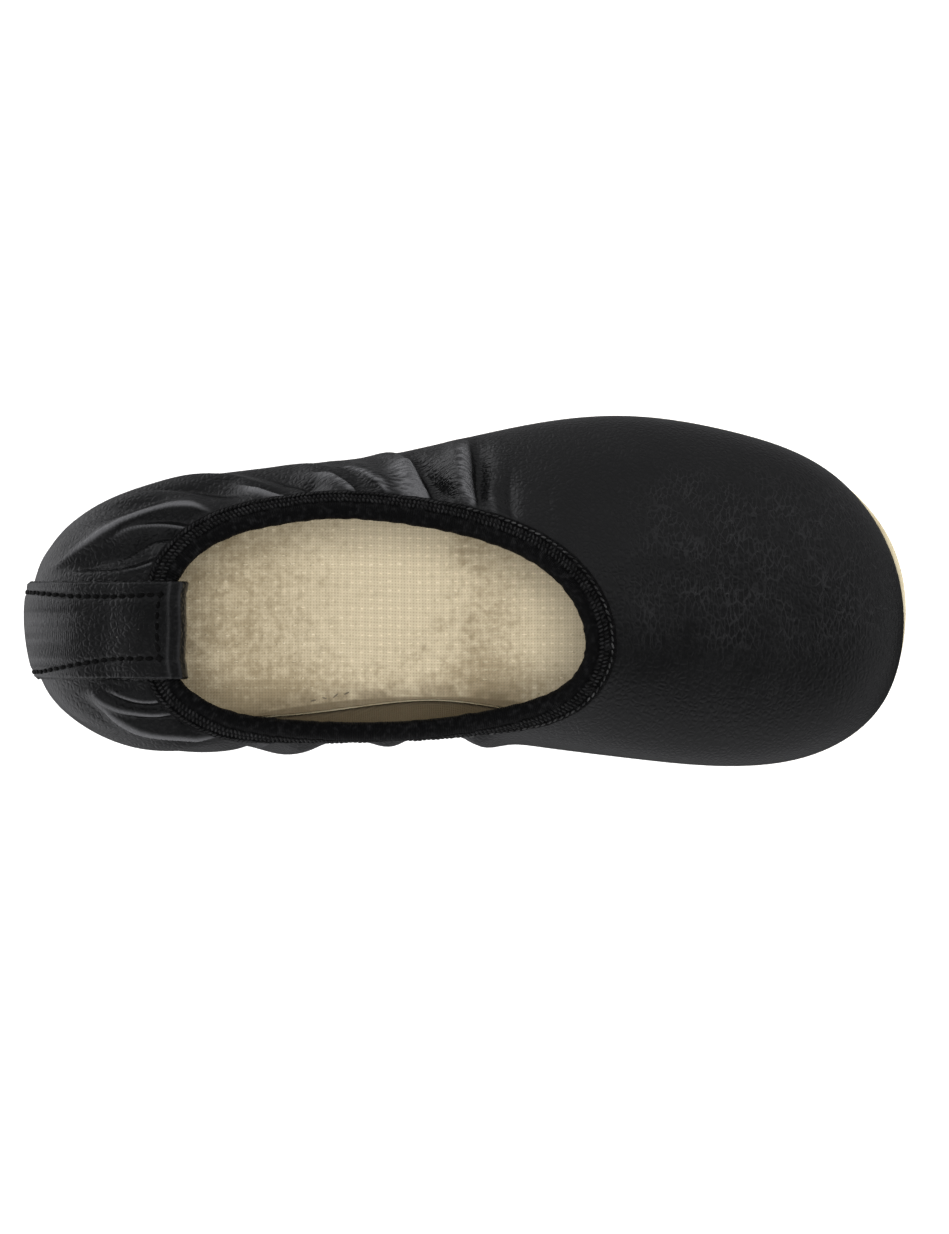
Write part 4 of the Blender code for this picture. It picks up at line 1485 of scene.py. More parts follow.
@dataclass
class Upper:
    """Leather shell and its cloth lining."""

    last: Last
    leather: bpy.types.Material
    lining: bpy.types.Material
    fine_turns: int = 580
    plain_turns: int = 180
    creased: tuple[float, float] = (30.0, 225.0)
    rings: int = 104
    ring_power: float = 1.3
    inner_rings: int = 14
    wall: float = 0.8 * MM
    lining_turns: int = 360
    lining_rings: int = 30
    lining_outside: float = 0.84 * MM
    lining_inside: float = 1.2 * MM
    vamp_back: float = 26 * MM
    vamp_front: float = 92 * MM
    vamp_side: float = 24 * MM
    vamp_middle: float = 6 * MM
    vamp_rise: float = 16 * MM
    vamp_fade: float = 14 * MM
    plain_net: float = 0.10
    plain_wrinkle: float = 0.12
    hang: float = 1.8 * MM
    hang_start: float = 2 * MM
    hang_rise: float = 3 * MM
    hang_end: float = 38 * MM
    hang_fade: float = 8 * MM
    hang_turn: float = 0.04
    gathers: tuple[float, float] = (36.0, 128.0)
    gather_turn: float = 0.05
    gather_rise: float = 8 * MM
    gather_end: float = 40 * MM
    gather_fade: float = 16 * MM

    def build(self) -> None:
        """Makes and hands over both pieces."""
        Pieces.hand_over(self.shell(), self.leather, Slot.LEATHER, "upper")
        Pieces.hand_over(self.cloth(), self.lining, Slot.CANVAS)

    def shell(self) -> bpy.types.Object:
        """Makes the leather: a fine outer face with gathers and creases, and a coarser inner face.

        Returns:
            The object, with metres round the shoe and down from the collar in its UV map.
        """
        start, end = self.turn_range(self.creased)
        fine = int(self.fine_turns * end / (end + 1.0 - start))
        inner_side = np.linspace(0.0, end, fine, endpoint=False)
        toe = np.linspace(end, start, self.plain_turns, endpoint=False)
        outer_side = np.linspace(start, 1.0, self.fine_turns - fine, endpoint=False)
        turns = np.concatenate([inner_side, toe, outer_side])
        lengths = self.last.lengths(turns)[:, None]
        down = lengths * np.linspace(1.0, 0.0, self.rings + 1) ** self.ring_power
        back = lengths * np.linspace(0.0, 1.0, self.inner_rings + 1)
        outer, rub_and_sheen = self.last.skin(turns, down)
        inner = self.last.under_skin(turns, back, self.wall + self.slack(turns, back))
        points = np.concatenate([outer, inner], axis=1)
        depth = np.concatenate([down, back, down[:, :1]], axis=1)
        girth = 0.5 * (self.last.edge_girth + self.last.foot_girth)
        along = np.repeat(np.append(turns, 1.0)[:, None] * girth, depth.shape[1], axis=1)
        flat = np.stack([along, np.vstack([depth, depth[:1]])], axis=-1)
        # Crease crests carry rubbing and a painted sheen.
        crest_wear_and_sheen = np.concatenate([rub_and_sheen, np.zeros(back.shape)], axis=1)
        marks = {"crest_wear_and_sheen": crest_wear_and_sheen, "vamp": self.net(points), "wrinkle": self.wrinkles(turns, depth[:, :-1])}
        return Pieces.swept("upper_leather", points, True, flat, marks)

    def turn_range(self, bearings: tuple[float, float]) -> tuple[float, float]:
        """Turns of two bearings."""
        start, end = bearings
        return self.last.turn_at(start) % 1.0, self.last.turn_at(end) % 1.0

    def net(self, points: np.ndarray) -> np.ndarray:
        """Share of the net of ridges: full in the middle of the vamp, little elsewhere.

        Args:
            points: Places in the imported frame.

        Returns:
            Shares from 0 to 1.
        """
        x, y = points[..., 0], points[..., 1] - self.vamp_middle
        ends = ease((x - self.vamp_back) / self.vamp_rise) * ease((self.vamp_front - x) / self.vamp_fade)
        return np.maximum(ends * ease((self.vamp_side - np.abs(y)) / self.vamp_fade), self.plain_net)

    def wrinkles(self, turns: np.ndarray, depth: np.ndarray) -> np.ndarray:
        """Share of the fine wrinkles: full in the gathers of the outer waist, little elsewhere.

        Args:
            turns: Shares of the turn, one for each section.
            depth: Distances from the collar edge.

        Returns:
            Shares from 0 to 1.
        """
        start, end = self.turn_range(self.gathers)
        waist = ease((turns - start) / self.gather_turn) * ease((end - turns) / self.gather_turn)
        band = ease((self.gather_end - depth) / self.gather_fade) * ease(depth / self.gather_rise)
        return np.maximum(waist[:, None] * band, self.plain_wrinkle)

    def slack(self, turns: np.ndarray, depth: np.ndarray) -> np.ndarray:
        """How far the inside hangs below the creases: most behind them, nothing at the collar and the sole.

        Args:
            turns: Shares of the turn, one for each section.
            depth: Distances from the collar edge.

        Returns:
            One row of distances for each section.
        """
        start, end = self.turn_range(self.creased)
        creased = np.maximum(ease((turns - start) / self.hang_turn), ease((end - turns) / self.hang_turn))
        below_hem = ease((depth - self.hang_start) / self.hang_rise)
        above_sole = ease((self.hang_end - depth) / self.hang_fade)
        return self.hang * creased[:, None] * below_hem * above_sole

    def cloth(self) -> bpy.types.Object:
        """Makes the lining, a thin shell inside the leather.

        Returns:
            The object.
        """
        turns = np.arange(self.lining_turns) / self.lining_turns
        lengths = self.last.lengths(turns)[:, None]
        down = lengths * np.linspace(1.0, 0.0, self.lining_rings + 1)
        slack = self.slack(turns, down)
        outer = self.last.under_skin(turns, down, self.lining_outside + slack)
        inner = self.last.under_skin(turns, down, self.lining_inside + slack)
        return Pieces.swept("upper_lining", np.concatenate([outer, inner[:, ::-1]], axis=1), True)


@dataclass
class CollarBinding:
    """Elastic tape folded over the collar edge, with its knitted hem and the row that sews it on."""

    last: Last
    elastic: bpy.types.Material
    yarn: bpy.types.Material
    thread: bpy.types.Material
    stitches: StitchTool
    turns: int = 720
    thickness: float = 1.0 * MM
    outside: float = 4.2 * MM
    inside: float = 4.8 * MM
    lip: float = 0.6 * MM
    grooves: tuple[tuple[float, float], ...] = ((0.2 * MM, 0.25 * MM), (2.55 * MM, 0.3 * MM))
    groove_width: float = 0.35 * MM
    rib_rows: tuple[float, ...] = (0.85 * MM, 1.95 * MM)
    outer_row: float = 3.1 * MM
    row_points: int = 900
    ripple: float = 0.04 * MM
    ripple_counts: tuple[int, ...] = (29, 47, 71)
    ripple_shift: float = 0.37
    throat: tuple[float, float] = (296.0, 60.0)
    hem_steps: tuple[float, ...] = (0.0, 0.12 * MM, 0.3 * MM, 0.55 * MM)
    face_span: tuple[float, float] = (3.4 * MM, 0.1 * MM)
    face_steps: int = 16
    fold_span: tuple[float, float] = (0.08, 0.92)
    fold_steps: int = 11
    inner_start: float = 0.2 * MM
    inner_steps: int = 8
    inner_hem_steps: tuple[float, ...] = (0.5 * MM, 0.15 * MM, 0.0)
    back_inside: tuple[float, ...] = (2.5 * MM, 0.3 * MM)
    back_fold: tuple[float, ...] = (0.8, 0.5, 0.2)
    back_outside: tuple[float, ...] = (0.3 * MM, 2.0 * MM)
    rib: Stitching = Stitching(0.84 * MM, 1.15 * MM, 0.46 * MM, 0.46 * MM, -1.25, 0.3, 3)
    knit: Stitching = Stitching(0.92 * MM, 1.2 * MM, 0.46 * MM, 0.42 * MM, 0.6, 0.2, 5)
    dash: Stitching = Stitching(1.35 * MM, 1.25 * MM, 0.42 * MM, 0.4 * MM, 0.25, 0.12, 6)

    def build(self) -> None:
        """Makes and hands over the tape, its knit and its sewing."""
        Pieces.hand_over(self.tape(), self.elastic, Slot.ELASTIC, "collar_binding")
        start, end = (self.last.turn_at(bearing) for bearing in self.throat)
        for number, depth in enumerate(self.rib_rows):
            rib = replace(self.rib, seed=self.rib.seed + number)
            self.sew(f"binding_ribs_{number}", rib, self.row(depth, 0.0, 1.0), self.yarn)
        self.sew("binding_knit", self.knit, self.row(self.outer_row, end, start), self.yarn)
        self.sew("binding_dashes", self.dash, self.row(self.outer_row, start - 1.0, end), self.thread)

    def sew(
        self, name: str, kind: Stitching, path: tuple[np.ndarray, np.ndarray], thread: bpy.types.Material
    ) -> None:
        """Sews one row on to the tape and hands it over.

        Args:
            name: Name of the piece.
            kind: Sizes of its stitches.
            path: Points and normals of the row.
            thread: Material of the stitches.
        """
        Pieces.hand_over(kind.sew(name, self.stitches, [path], thread), thread, Slot.ELASTIC)

    def relief(self, turns: np.ndarray, depth: np.ndarray) -> np.ndarray:
        """Height of the tape's outer face over its inner face on the outside of the collar.

        Args:
            turns: Shares of the turn.
            depth: Distances from the collar edge.

        Returns:
            One row of heights for each turn.
        """
        lip = ease((self.outside - depth) / self.lip)
        height = self.thickness * (0.4 + 0.6 * np.sqrt(lip))
        for middle, sink in self.grooves:
            height = height - sink * np.exp(-(((depth - middle) / self.groove_width) ** 2))
        return height[None, :] + self.waves(turns)[:, None]

    def waves(self, turns: np.ndarray) -> np.ndarray:
        """Slight unevenness along the tape where the elastic draws in."""
        angles = (2 * math.pi * (count * turns + self.ripple_shift * count) for count in self.ripple_counts)
        return sum(self.ripple * np.sin(angle) for angle in angles)

    def tape(self) -> bpy.types.Object:
        """Makes the tape from its hem outside, over the collar edge, to its hem inside, and back under.

        Returns:
            The object, with metres along and across in its UV map.
        """
        turns = np.arange(self.turns) / self.turns
        gap, leather = self.last.gap, self.last.leather
        hem = self.outside - np.array(self.hem_steps)
        inner_hem = self.inside - np.array(self.inner_hem_steps)
        out_depth = np.append(hem, np.linspace(*self.face_span, self.face_steps))
        in_depth = np.append(np.linspace(self.inner_start, inner_hem[0], self.inner_steps), inner_hem[1:])
        angles = np.linspace(*self.fold_span, self.fold_steps) * math.pi
        full = self.thickness + np.repeat(self.waves(turns)[:, None], self.fold_steps, axis=1)
        rounded = 0.5 + 0.5 * np.sqrt(ease((self.inside - in_depth) / self.lip))
        under = -(leather + gap + self.thickness * rounded)
        back_in = np.array([self.inside, *self.back_inside])
        back_out = np.array([*self.back_outside, self.outside])
        back_angles = np.array(self.back_fold) * math.pi
        stretches = [
            self.last.off_skin(turns, self.each(out_depth), gap + self.relief(turns, out_depth)),
            self.last.over_edge(turns, angles, gap + full),
            self.last.off_skin(turns, self.each(in_depth), self.each(under)),
            self.last.off_skin(turns, self.each(back_in), self.each(np.full(len(back_in), -leather - gap))),
            self.last.over_edge(turns, back_angles, self.each(np.full(len(back_angles), gap))),
            self.last.off_skin(turns, self.each(back_out), self.each(np.full(len(back_out), gap))),
        ]
        points = np.concatenate(stretches, axis=1)
        return Pieces.swept("collar_binding_tape", points, True, self.lengths(points))

    def each(self, row: np.ndarray) -> np.ndarray:
        """The same row for every turn."""
        return np.tile(row, (self.turns, 1))

    def lengths(self, points: np.ndarray) -> np.ndarray:
        """Metres along and across the tape.

        Args:
            points: Section loops of the tape.

        Returns:
            Pairs for the UV map.
        """
        closed = np.concatenate([points, points[:, :1]], axis=1)
        across = np.linalg.norm(np.diff(closed, axis=1), axis=2).mean(axis=0)
        across = np.append(0.0, np.cumsum(across))
        along = np.linspace(0.0, self.last.edge_girth, self.turns + 1)
        return np.stack(np.meshgrid(along, across, indexing="ij"), axis=-1)

    def row(self, depth: float, start: float, end: float) -> tuple[np.ndarray, np.ndarray]:
        """Path along the tape for a row of stitches.

        Args:
            depth: Distance from the collar edge.
            start: Turn where it starts.
            end: Turn where it ends.

        Returns:
            Points and normals.
        """
        turns = np.linspace(start, end, self.row_points)
        down = np.full((len(turns), 1), depth)
        base, normal = self.last.smooth_frame(turns, down)
        lift = self.last.gap + self.thickness + self.waves(turns)
        return (base + self.last.origin)[:, 0] + lift[:, None] * normal[:, 0], normal[:, 0]


@dataclass
class HeelStrip:
    """Leather strip sewn up the back of the heel and folded over the binding."""

    last: Last
    leather: bpy.types.Material
    thread: bpy.types.Material
    stitches: StitchTool
    columns: int = 72
    steps: int = 96
    thickness: float = 1.1 * MM
    inside: float = 4.0 * MM
    above_sole: float = 1.2 * MM
    ramp: float = 9.0 * MM
    binding: float = 1.0 * MM
    binding_outside: float = 4.2 * MM
    edge_round: float = 0.45 * MM
    seam_width: float = 0.75 * MM
    seam_sink: float = 0.28 * MM
    ridge_angles: tuple[float, ...] = (0.12, 0.31)
    ridge_height: float = 0.3 * MM
    ridge_width: float = 0.035
    fold_push: float = 1.1 * MM
    fray: float = 0.16 * MM
    fray_edge: float = 0.497
    fray_seed: int = 5
    grain_end: float = -76.0 * MM
    grain_rise: float = 6 * MM
    grain_wear: float = 0.36
    ridge_wear: float = 0.5
    end_share: float = 0.55
    top_margin: float = 0.1 * MM
    foot_depth: float = 45 * MM
    fold_span: tuple[float, float] = (0.04, 0.96)
    fold_steps: int = 30
    inner_start: float = 0.2 * MM
    inner_steps: int = 8
    search: float = 0.12
    table_span: tuple[float, float] = (-1 * MM, 50 * MM)
    table_rows: int = 103
    table_columns: int = 161
    seam: Stitching = Stitching(2.0 * MM, 1.75 * MM, 0.9 * MM, 0.5 * MM, 0.0, 0.16, 8)
    seam_end: float = 43 * MM
    seam_points: int = 160
    seam_settle: float = 0.6
    cross_points: int = 60
    cross_bow: float = 0.7 * MM
    seam_side: ClassVar[tuple[tuple[float, float], ...]] = (
        (0.4, 7.1), (9.5, 6.7), (19.0, 6.8), (30.0, 7.5), (46.0, 7.9),
    )
    seam_other: ClassVar[tuple[tuple[float, float], ...]] = (
        (0.4, -5.6), (9.5, -5.7), (14.5, -6.3), (19.0, -6.95), (23.5, -7.7), (29.0, -8.4), (46.0, -8.7),
    )

    def __post_init__(self) -> None:
        """Lays out the fold, and tabulates which y each turn and depth has, to place points by y."""
        self.over = 2 * self.last.gap + self.binding
        shares = np.linspace(*self.fold_span, self.fold_steps)
        self.angles = shares * math.pi
        self.ridges = sum(np.exp(-(((shares - at) / self.ridge_width) ** 2)) for at in self.ridge_angles)
        self.table_depth = np.linspace(*self.table_span, self.table_rows)
        self.table_turns = np.linspace(-self.search, self.search, self.table_columns)
        points = self.last.smooth(self.table_turns, np.tile(self.table_depth, (len(self.table_turns), 1)))
        self.table_y = points[:, :, 1]

    def build(self) -> None:
        """Makes and hands over the strip and its seam."""
        Pieces.hand_over(self.band(), self.leather, Slot.LEATHER, "heel_strip")
        sewn = self.seam.sew("heel_strip_seam", self.stitches, self.seam_paths(), self.thread)
        Pieces.hand_over(sewn, self.thread, Slot.LEATHER)

    def turns_at(self, y: np.ndarray, depth: np.ndarray) -> np.ndarray:
        """Turns where the leather has given y at given depths.

        Args:
            y: Distances sideways from the middle line.
            depth: Distances from the collar edge.

        Returns:
            One turn for each pair.
        """
        found = np.empty(len(y))
        for i, (side, down) in enumerate(zip(y, depth)):
            column = np.clip(np.searchsorted(self.table_depth, down), 1, len(self.table_depth) - 1)
            above, below = self.table_depth[column - 1], self.table_depth[column]
            share = (down - above) / (below - above)
            row = (1 - share) * self.table_y[:, column - 1] + share * self.table_y[:, column]
            found[i] = np.interp(-side, -row, self.table_turns)
        return found

    def height(self, depth: np.ndarray) -> np.ndarray:
        """Height of the strip's inner face over the leather, which steps up over the binding."""
        climb = ease((self.binding_outside + self.ramp - depth) / self.ramp)
        return self.last.gap + (self.over - self.last.gap) * climb

    def rounded(self, distance: np.ndarray) -> np.ndarray:
        """Share of the thickness at distances from one of the strip's two ends."""
        return self.end_share + (1.0 - self.end_share) * np.sqrt(ease(distance / self.edge_round))

    def relief(self, side: float, depth: np.ndarray) -> np.ndarray:
        """Thickness of the strip, thinner at its edges and drawn in along its seam.

        Args:
            side: Distance from the strip's middle.
            depth: Distances from the collar edge.

        Returns:
            One thickness for each depth.
        """
        edge = 0.5 * self.last.strip_width - abs(side)
        body = self.thickness * (0.5 + 0.5 * math.sqrt(float(ease(edge / self.edge_round))))
        near = np.full(depth.shape, 1.0)
        for line in (self.seam_side, self.seam_other):
            knots = np.array(line)
            near = np.minimum(near, np.abs(side - np.interp(depth, knots[:, 0] * MM, knots[:, 1] * MM)))
        inside = self.seam_other[0][1] * MM < side < self.seam_side[0][1] * MM
        if inside:
            near = np.minimum(near, np.abs(depth - self.seam_side[0][0] * MM))
        return body - self.seam_sink * np.exp(-((near / self.seam_width) ** 2))

    def band(self) -> bpy.types.Object:
        """Makes the strip. Its faces share one stretch of the UV map, so wrinkles run along it as streaks.

        Returns:
            The object.
        """
        rng = np.random.default_rng(self.fray_seed)
        sides = 0.5 * self.last.strip_width * np.cos(np.linspace(0.0, math.pi, self.columns + 1))
        points = np.array([self.column(side, rng) for side in sides])
        down = np.linalg.norm(np.diff(points, axis=1), axis=2).mean(axis=0).cumsum()
        half = points.shape[1] // 2
        flat = np.stack(np.meshgrid(sides, down[half - 3 : half - 1], indexing="ij"), axis=-1)
        wrinkle = ease((self.grain_end - points[:, :, 0]) / self.grain_rise)
        # The strip's lower back gets a painted sheen, and the fold's ridges painted glints.
        crest_wear_and_sheen = self.grain_wear * wrinkle
        crest_wear_and_sheen[:, self.steps : self.steps + self.fold_steps] = self.ridge_wear * self.ridges
        return Pieces.swept("heel_strip_leather", points, False, flat, {"crest_wear_and_sheen": crest_wear_and_sheen, "wrinkle": wrinkle})

    def column(self, side: float, rng: np.random.Generator) -> np.ndarray:
        """Loop of points along the strip at one distance from its middle.

        Args:
            side: Distance from the strip's middle.
            rng: Draws the fraying of the strip's edges.

        Returns:
            Points up the outer face, over the fold, down inside and back along the inner face.
        """
        middle, over = self.last.strip_centre, self.over
        guess = self.turns_at(np.array([middle + side]), np.array([self.foot_depth]))
        length = float(self.last.lengths(guess)[0]) - self.above_sole
        depth = np.linspace(length, self.top_margin, self.steps)
        loose = abs(side) > self.fray_edge * self.last.strip_width
        frayed = side + self.fray * rng.normal(size=len(depth)) * loose
        turns = self.turns_at(middle + frayed, depth)
        low = self.height(depth)
        thick = self.relief(side, depth) * self.rounded(length - depth)
        outside = self.last.off_skin(turns, depth[:, None], (low + thick)[:, None])[:, 0]
        back = self.last.off_skin(turns, depth[:, None], low[:, None])[:, 0]
        turn = self.turns_at(np.array([middle + side]), np.array([0.0]))
        edge_thick = float(self.relief(side, np.array([0.0]))[0])
        push = self.fold_push * np.sin(self.angles) ** 2 + self.ridge_height * self.ridges
        fold = self.last.over_edge(turn, self.angles, (over + edge_thick + push)[None, :])[0]
        back_fold = self.last.over_edge(turn, self.angles, np.full((1, self.fold_steps), over))[0]
        in_depth = np.linspace(self.inner_start, self.inside, self.inner_steps)
        under = -(self.last.leather + over)
        rim = edge_thick * self.rounded(self.inside - in_depth)
        inside = self.last.off_skin(turn, in_depth[None, :], (under - rim)[None, :])[0]
        back_inside = self.last.off_skin(turn, in_depth[None, :], np.full((1, self.inner_steps), under))[0]
        loop = np.vstack([outside, fold, inside, back_inside[::-1], back_fold[::-1], back[::-1]])
        shift = np.full(len(loop), side)
        shift[: self.steps] = frayed
        loop[:, 1] = self.last.origin[1] + middle + shift
        return loop

    def seam_paths(self) -> list[tuple[np.ndarray, np.ndarray]]:
        """Paths of the seam: down both sides and across under the fold.

        Returns:
            Points and normals of each row.
        """
        paths = []
        for line in (self.seam_side, self.seam_other):
            knots = np.array(line) * MM
            depth = np.linspace(knots[0, 0], self.seam_end, self.seam_points)
            paths.append(self.on_strip(np.interp(depth, knots[:, 0], knots[:, 1]), depth))
        side = np.linspace(self.seam_side[0][1] * MM, self.seam_other[0][1] * MM, self.cross_points)
        bow = self.cross_bow * np.sin(np.linspace(0.0, math.pi, self.cross_points))
        paths.append(self.on_strip(side, self.seam_side[0][0] * MM + bow))
        return paths

    def on_strip(self, side: np.ndarray, depth: np.ndarray) -> tuple[np.ndarray, np.ndarray]:
        """Places on the strip's outer face.

        Args:
            side: Distances from the strip's middle.
            depth: Distances from the collar edge.

        Returns:
            Points and normals.
        """
        turns = self.turns_at(self.last.strip_centre + side, depth)
        base, normal = self.last.smooth_frame(turns, depth[:, None])
        lift = self.height(depth) + self.thickness - self.seam_settle * self.seam_sink
        points = base[:, 0] + self.last.origin + lift[:, None] * normal[:, 0]
        points[:, 1] = self.last.origin[1] + self.last.strip_centre + side
        return points, normal[:, 0]


@dataclass
class Plate:
    """Flat piece that follows the sole's curve, filled towards a line along its middle."""

    last: Last
    offset: float
    lip: float
    bottom: float
    thickness: float
    rounding: float
    stations: int = 120
    ends: int = 40
    shares: tuple[float, ...] = (0.03, 0.08, 0.16, 0.28, 0.42, 0.56, 0.70, 0.84, 1.0)
    spine_back: float = 0.14
    spine_front: float = 0.84
    spine_bow: float = 0.09
    round_steps: int = 5

    def __post_init__(self) -> None:
        """Pairs the points of the inner and outer sides that meet on the middle line."""
        back, front = self.spine_back * self.last.length, self.spine_front * self.last.length
        x = np.linspace(back, front, self.stations)
        inner, outer = self.last.side_turns(x)
        toe = np.linspace(inner[-1], outer[-1], self.ends + 2)[1:-1]
        heel = np.linspace(outer[0], inner[0] + 1.0, self.ends + 2)[1:-1]
        self.turns = np.concatenate([inner, toe, outer[::-1], heel])
        spine_x = np.concatenate([x, np.full(self.ends, front), x[::-1], np.full(self.ends, back)])
        along = (spine_x - back) / (front - back)
        spine_y = self.spine_bow * self.last.ball_width * np.sin(0.5 * math.pi * along)
        self.spine = np.column_stack([spine_x, spine_y])

    def rings(self) -> list[np.ndarray]:
        """Rings from the middle of the underside, round the edge, to the middle of the top.

        Returns:
            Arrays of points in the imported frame.
        """
        below = [self.ring(0.0, share, 0.0) for share in reversed(self.shares)]
        above = [self.ring(0.0, share, self.thickness) for share in self.shares]
        edge = []
        for angle in np.linspace(-0.5 * math.pi, 0.0, self.round_steps):
            edge.append(self.ring(math.cos(angle), 0.0, self.rounding * (1.0 + math.sin(angle))))
        for angle in np.linspace(0.0, 0.5 * math.pi, self.round_steps):
            top = self.thickness - self.rounding * (1.0 - math.sin(angle))
            edge.append(self.ring(math.cos(angle), 0.0, top))
        return below + edge + above

    def ring(self, out: float, share: float, height: float) -> np.ndarray:
        """One ring of points.

        Args:
            out: Share of the edge rounding that it stands out by.
            share: Share of the way from the edge to the middle line.
            height: Height over the plate's underside.

        Returns:
            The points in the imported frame.
        """
        plan = self.last.outline(self.turns, self.offset - self.rounding * (1.0 - out), self.lip)
        plan = plan + share * (self.spine - plan)
        z = self.last.ground(plan[:, 0]) + self.bottom + height
        return np.column_stack([plan, z]) + self.last.origin


@dataclass
class Insole:
    """Canvas insole with raised threads and the lasting seam at its inner edge."""

    last: Last
    canvas: bpy.types.Material
    yarn: bpy.types.Material
    thread: bpy.types.Material
    stitches: StitchTool
    weave: WeaveTool
    thickness: float = 1.6 * MM
    edge_gap: float = 0.1 * MM
    rounding: float = 0.2 * MM
    woven_rounding: float = 0.4 * MM
    plain_rim: float = 4.5 * MM
    pitch_x: float = 1.96 * MM
    pitch_y: float = 1.8 * MM
    size_x: float = 176.4 * MM
    size_y: float = 75.6 * MM
    drop_height: float = 100 * MM
    yarn_length: float = 1.15 * MM
    yarn_width: float = 0.5 * MM
    yarn_height: float = 0.34 * MM
    yarn_stray: float = 0.20 * MM
    yarn_seed: int = 11
    seam: Stitching = Stitching(2.3 * MM, 1.3 * MM, 0.34 * MM, 0.24 * MM, 0.0, 0.5, 9)
    seam_start: float = 60 * MM
    seam_end: float = 67 * MM
    seam_inset: tuple[float, float] = (2.3 * MM, 2.9 * MM)
    seam_points: int = 60

    def __post_init__(self) -> None:
        """Works out how high it lies and how far inside the foot line it ends."""
        self.bottom = self.last.sole_thickness + self.last.gap
        self.inset = -(self.last.leather + self.edge_gap)

    def build(self) -> None:
        """Makes and hands over the plate, its threads and its seam."""
        plate = Pieces.plate("insole_canvas", self.form(self.inset, self.rounding).rings())
        threads = self.threads()
        Pieces.hand_over(plate, self.canvas, Slot.CANVAS, "insole")
        Pieces.hand_over(threads, self.yarn, Slot.CANVAS)
        sewn = self.seam.sew("insole_seam", self.stitches, [self.seam_path()], self.thread)
        Pieces.hand_over(sewn, self.thread, Slot.CANVAS)

    def form(self, offset: float, rounding: float) -> Plate:
        """Plate at the insole's height that ends at an offset from the foot line."""
        return Plate(self.last, offset, 0.0, self.bottom, self.thickness, rounding)

    def threads(self) -> bpy.types.Object:
        """Makes the raised threads, which leave a plain rim.

        Returns:
            Object with all the threads.
        """
        woven = self.form(self.inset - self.plain_rim, self.woven_rounding)
        target = Pieces.plate("insole_woven", woven.rings())
        mesh = target.data
        bpy.data.objects.remove(target)
        values = {
            "Size X": self.size_x,
            "Size Y": self.size_y,
            "Count X": round(self.size_x / self.pitch_x) + 1,
            "Count Y": round(self.size_y / self.pitch_y) + 1,
            "Middle": (0.0, 0.0, self.drop_height),
            "Length": self.yarn_length,
            "Width": self.yarn_width,
            "Height": self.yarn_height,
            "Stray": self.yarn_stray,
            "Seed": self.yarn_seed,
            "Thread": self.yarn,
        }
        return self.weave.apply("insole_threads", mesh, values)

    def seam_path(self) -> tuple[np.ndarray, np.ndarray]:
        """Path of the lasting seam along the inner edge.

        Returns:
            Points and normals.
        """
        turns, _ = self.last.side_turns(np.linspace(self.seam_start, self.seam_end, self.seam_points))
        inward = np.linspace(*self.seam_inset, self.seam_points)[:, None] * self.last.outward(turns, 0)[:, :2]
        plan = self.last.outline(turns, self.inset) - inward
        z = self.last.ground(plan[:, 0]) + self.bottom + self.thickness
        upward = np.tile([0.0, 0.0, 1.0], (len(turns), 1))
        return np.column_stack([plan, z]) + self.last.origin, upward


@dataclass
class Outsole:
    """Thin rubber sole with a rounded edge."""

    last: Last
    rubber: bpy.types.Material
    rounding: float = 0.6 * MM
    stations: int = 160
    ends: int = 60

    def build(self) -> None:
        """Makes and hands over the sole."""
        sizes = (self.last.sole_lip, 0.0, self.last.sole_thickness, self.rounding)
        form = Plate(self.last, 0.0, *sizes, self.stations, self.ends)
        Pieces.hand_over(Pieces.plate("outsole_rubber", form.rings()), self.rubber, Slot.RUBBER, "outsole")


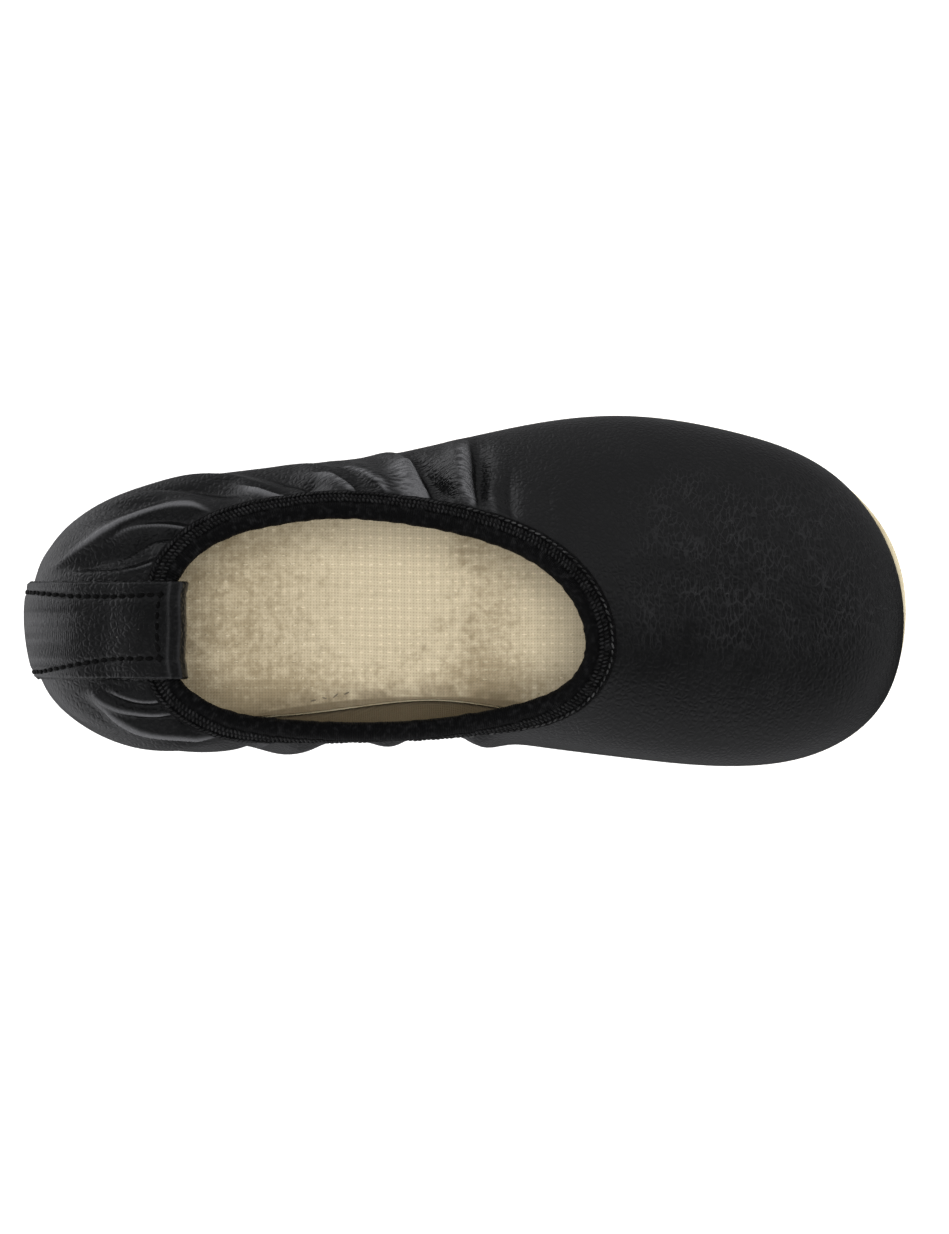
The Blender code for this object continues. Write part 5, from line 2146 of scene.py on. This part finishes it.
@dataclass
class Studio:
    """Pale floor, soft light and the camera straight above."""

    floor_finish: bpy.types.Material
    floor_size: float = 3.0
    camera_height: float = 1.2
    camera_x: float = 1.66 * MM
    camera_y: float = -5.36 * MM
    view_height: float = 0.2535
    sensor: float = 36.0
    overhead: float = 0.036
    outer_glow: float = 0.28
    inner_glow: float = 0.48
    end_glow: float = 0.34
    heel_glow: float = 0.95
    lamp_height: float = 1.40
    lamp_size: float = 0.8
    lamp_power: float = 26.0

    def build(self) -> None:
        """Makes the floor, the lights and the camera."""
        self.floor()
        self.surroundings()
        self.lamp()
        self.camera()

    def floor(self) -> None:
        """Makes the floor plane."""
        half = 0.5 * self.floor_size
        mesh = bpy.data.meshes.new("floor")
        corners = [(-half, -half, 0.0), (half, -half, 0.0), (half, half, 0.0), (-half, half, 0.0)]
        mesh.from_pydata(corners, [], [(0, 1, 2, 3)])
        mesh.materials.append(self.floor_finish)
        made = bpy.data.objects.new("floor", mesh)
        made.visible_glossy = False
        bpy.context.scene.collection.objects.link(made)

    def surroundings(self) -> None:
        """Makes a studio that is dark overhead and bright round the sides, most of all behind the heel."""
        world = bpy.data.worlds.new("studio")
        world.use_nodes = True
        sheet = NodeSheet(world.node_tree)
        direction = sheet.node("ShaderNodeTexCoord", output="Generated")
        x, y, z = (sheet.axis(direction, name) for name in "XYZ")
        outer = sheet.ramp(y, 0.02, 0.35) * (1.0 - 0.35 * sheet.ramp(z, 0.1, -0.7))
        outer = outer * (1.0 - 0.45 * sheet.ramp(x, -0.12, -0.6) * sheet.ramp(z, 0.15, 0.5))
        ends = (sheet.ramp(x, 0.7, 0.98) + 0.3 * sheet.ramp(x, -0.45, -0.95)) * (1.0 - outer)
        inner = sheet.ramp(y, -0.1, -1.0)
        heel = sheet.ramp(x, -0.12, -0.85) * sheet.ramp(z, 0.34, 0.06)
        glow = self.overhead + self.outer_glow * outer + self.inner_glow * inner
        glow = glow + self.end_glow * ends + self.heel_glow * heel
        background = world.node_tree.nodes["Background"]
        background.inputs["Color"].default_value = (0.97, 0.97, 1.0, 1.0)
        world.node_tree.links.new(glow.socket, background.inputs["Strength"])
        bpy.context.scene.world = world
        bpy.context.scene.view_settings.view_transform = "Standard"

    def lamp(self) -> None:
        """Makes one large soft lamp straight above, which doesn't show in reflections."""
        data = bpy.data.lights.new("overhead", "AREA")
        data.size = self.lamp_size
        data.energy = self.lamp_power
        made = bpy.data.objects.new("overhead", data)
        made.location = (0.0, 0.0, self.lamp_height)
        made.visible_glossy = False
        bpy.context.scene.collection.objects.link(made)

    def camera(self) -> None:
        """Makes the camera, with the toe to the right of the picture."""
        data = bpy.data.cameras.new("camera")
        data.sensor_width = self.sensor
        data.lens = self.sensor * self.camera_height / self.view_height
        made = bpy.data.objects.new("camera", data)
        made.location = (self.camera_x, self.camera_y, self.camera_height)
        bpy.context.scene.collection.objects.link(made)
        bpy.context.scene.camera = made


def main() -> None:
    """Builds the studio and every piece of the shoe in order."""
    logging.basicConfig(level=logging.INFO, format="%(message)s")
    last = Last()
    stitches = StitchTool()
    leather = Leather("black_leather", 0.37, 0.5).material()
    thread = Thread(
        "black_thread", 0.7, 0.15, color=(0.001, 0.001, 0.001, 1.0), faded=(0.003, 0.003, 0.003, 1.0)
    ).material()
    # Its lighter patches are painted glints.
    glint = Thread(
        "glinting_thread", 0.45, 0.5, color=(0.008, 0.008, 0.008, 1.0), faded=(0.05, 0.05, 0.05, 1.0)
    ).material()
    yarn = Thread(
        "black_yarn", 0.5, 0.4, color=(0.003, 0.003, 0.003, 1.0), faded=(0.016, 0.016, 0.0165, 1.0)
    ).material()
    cream_yarn = Canvas(
        "cream_yarn",
        0.8,
        0.3,
        clean=(0.72, 0.63, 0.46, 1.0),
        worn=(0.40, 0.335, 0.22, 1.0),
        soiled=(0.2, 0.165, 0.105, 1.0),
    ).material()
    dark_thread = Thread(
        "dark_thread", 0.8, 0.3, color=(0.15, 0.125, 0.09, 1.0), faded=(0.20, 0.17, 0.12, 1.0)
    ).material()
    canvas = Canvas("cream_canvas", 0.8, 0.3, grid_share=0.16).material()
    # The lining's cream is painted about three times darker than the insole's, a painted shade for the wall
    # inside the shoe.
    lining = Canvas(
        "cream_lining_painted_shade",
        0.85,
        0.25,
        clean=(0.20, 0.175, 0.12, 1.0),
        worn=(0.14, 0.115, 0.07, 1.0),
        thread=0.45 * MM,
    ).material()
    Studio(Paper("pale_floor", 0.9, 0.2, 0.7).material()).build()
    Upper(last, leather, lining).build()
    CollarBinding(last, Elastic("black_elastic", 0.75, 0.2).material(), yarn, glint, stitches).build()
    HeelStrip(last, leather, thread, stitches).build()
    Insole(last, canvas, cream_yarn, dark_thread, stitches, WeaveTool()).build()
    Outsole(last, Rubber("cream_rubber", 0.6, 0.4).material()).build()


if __name__ == "__main__":
    main()
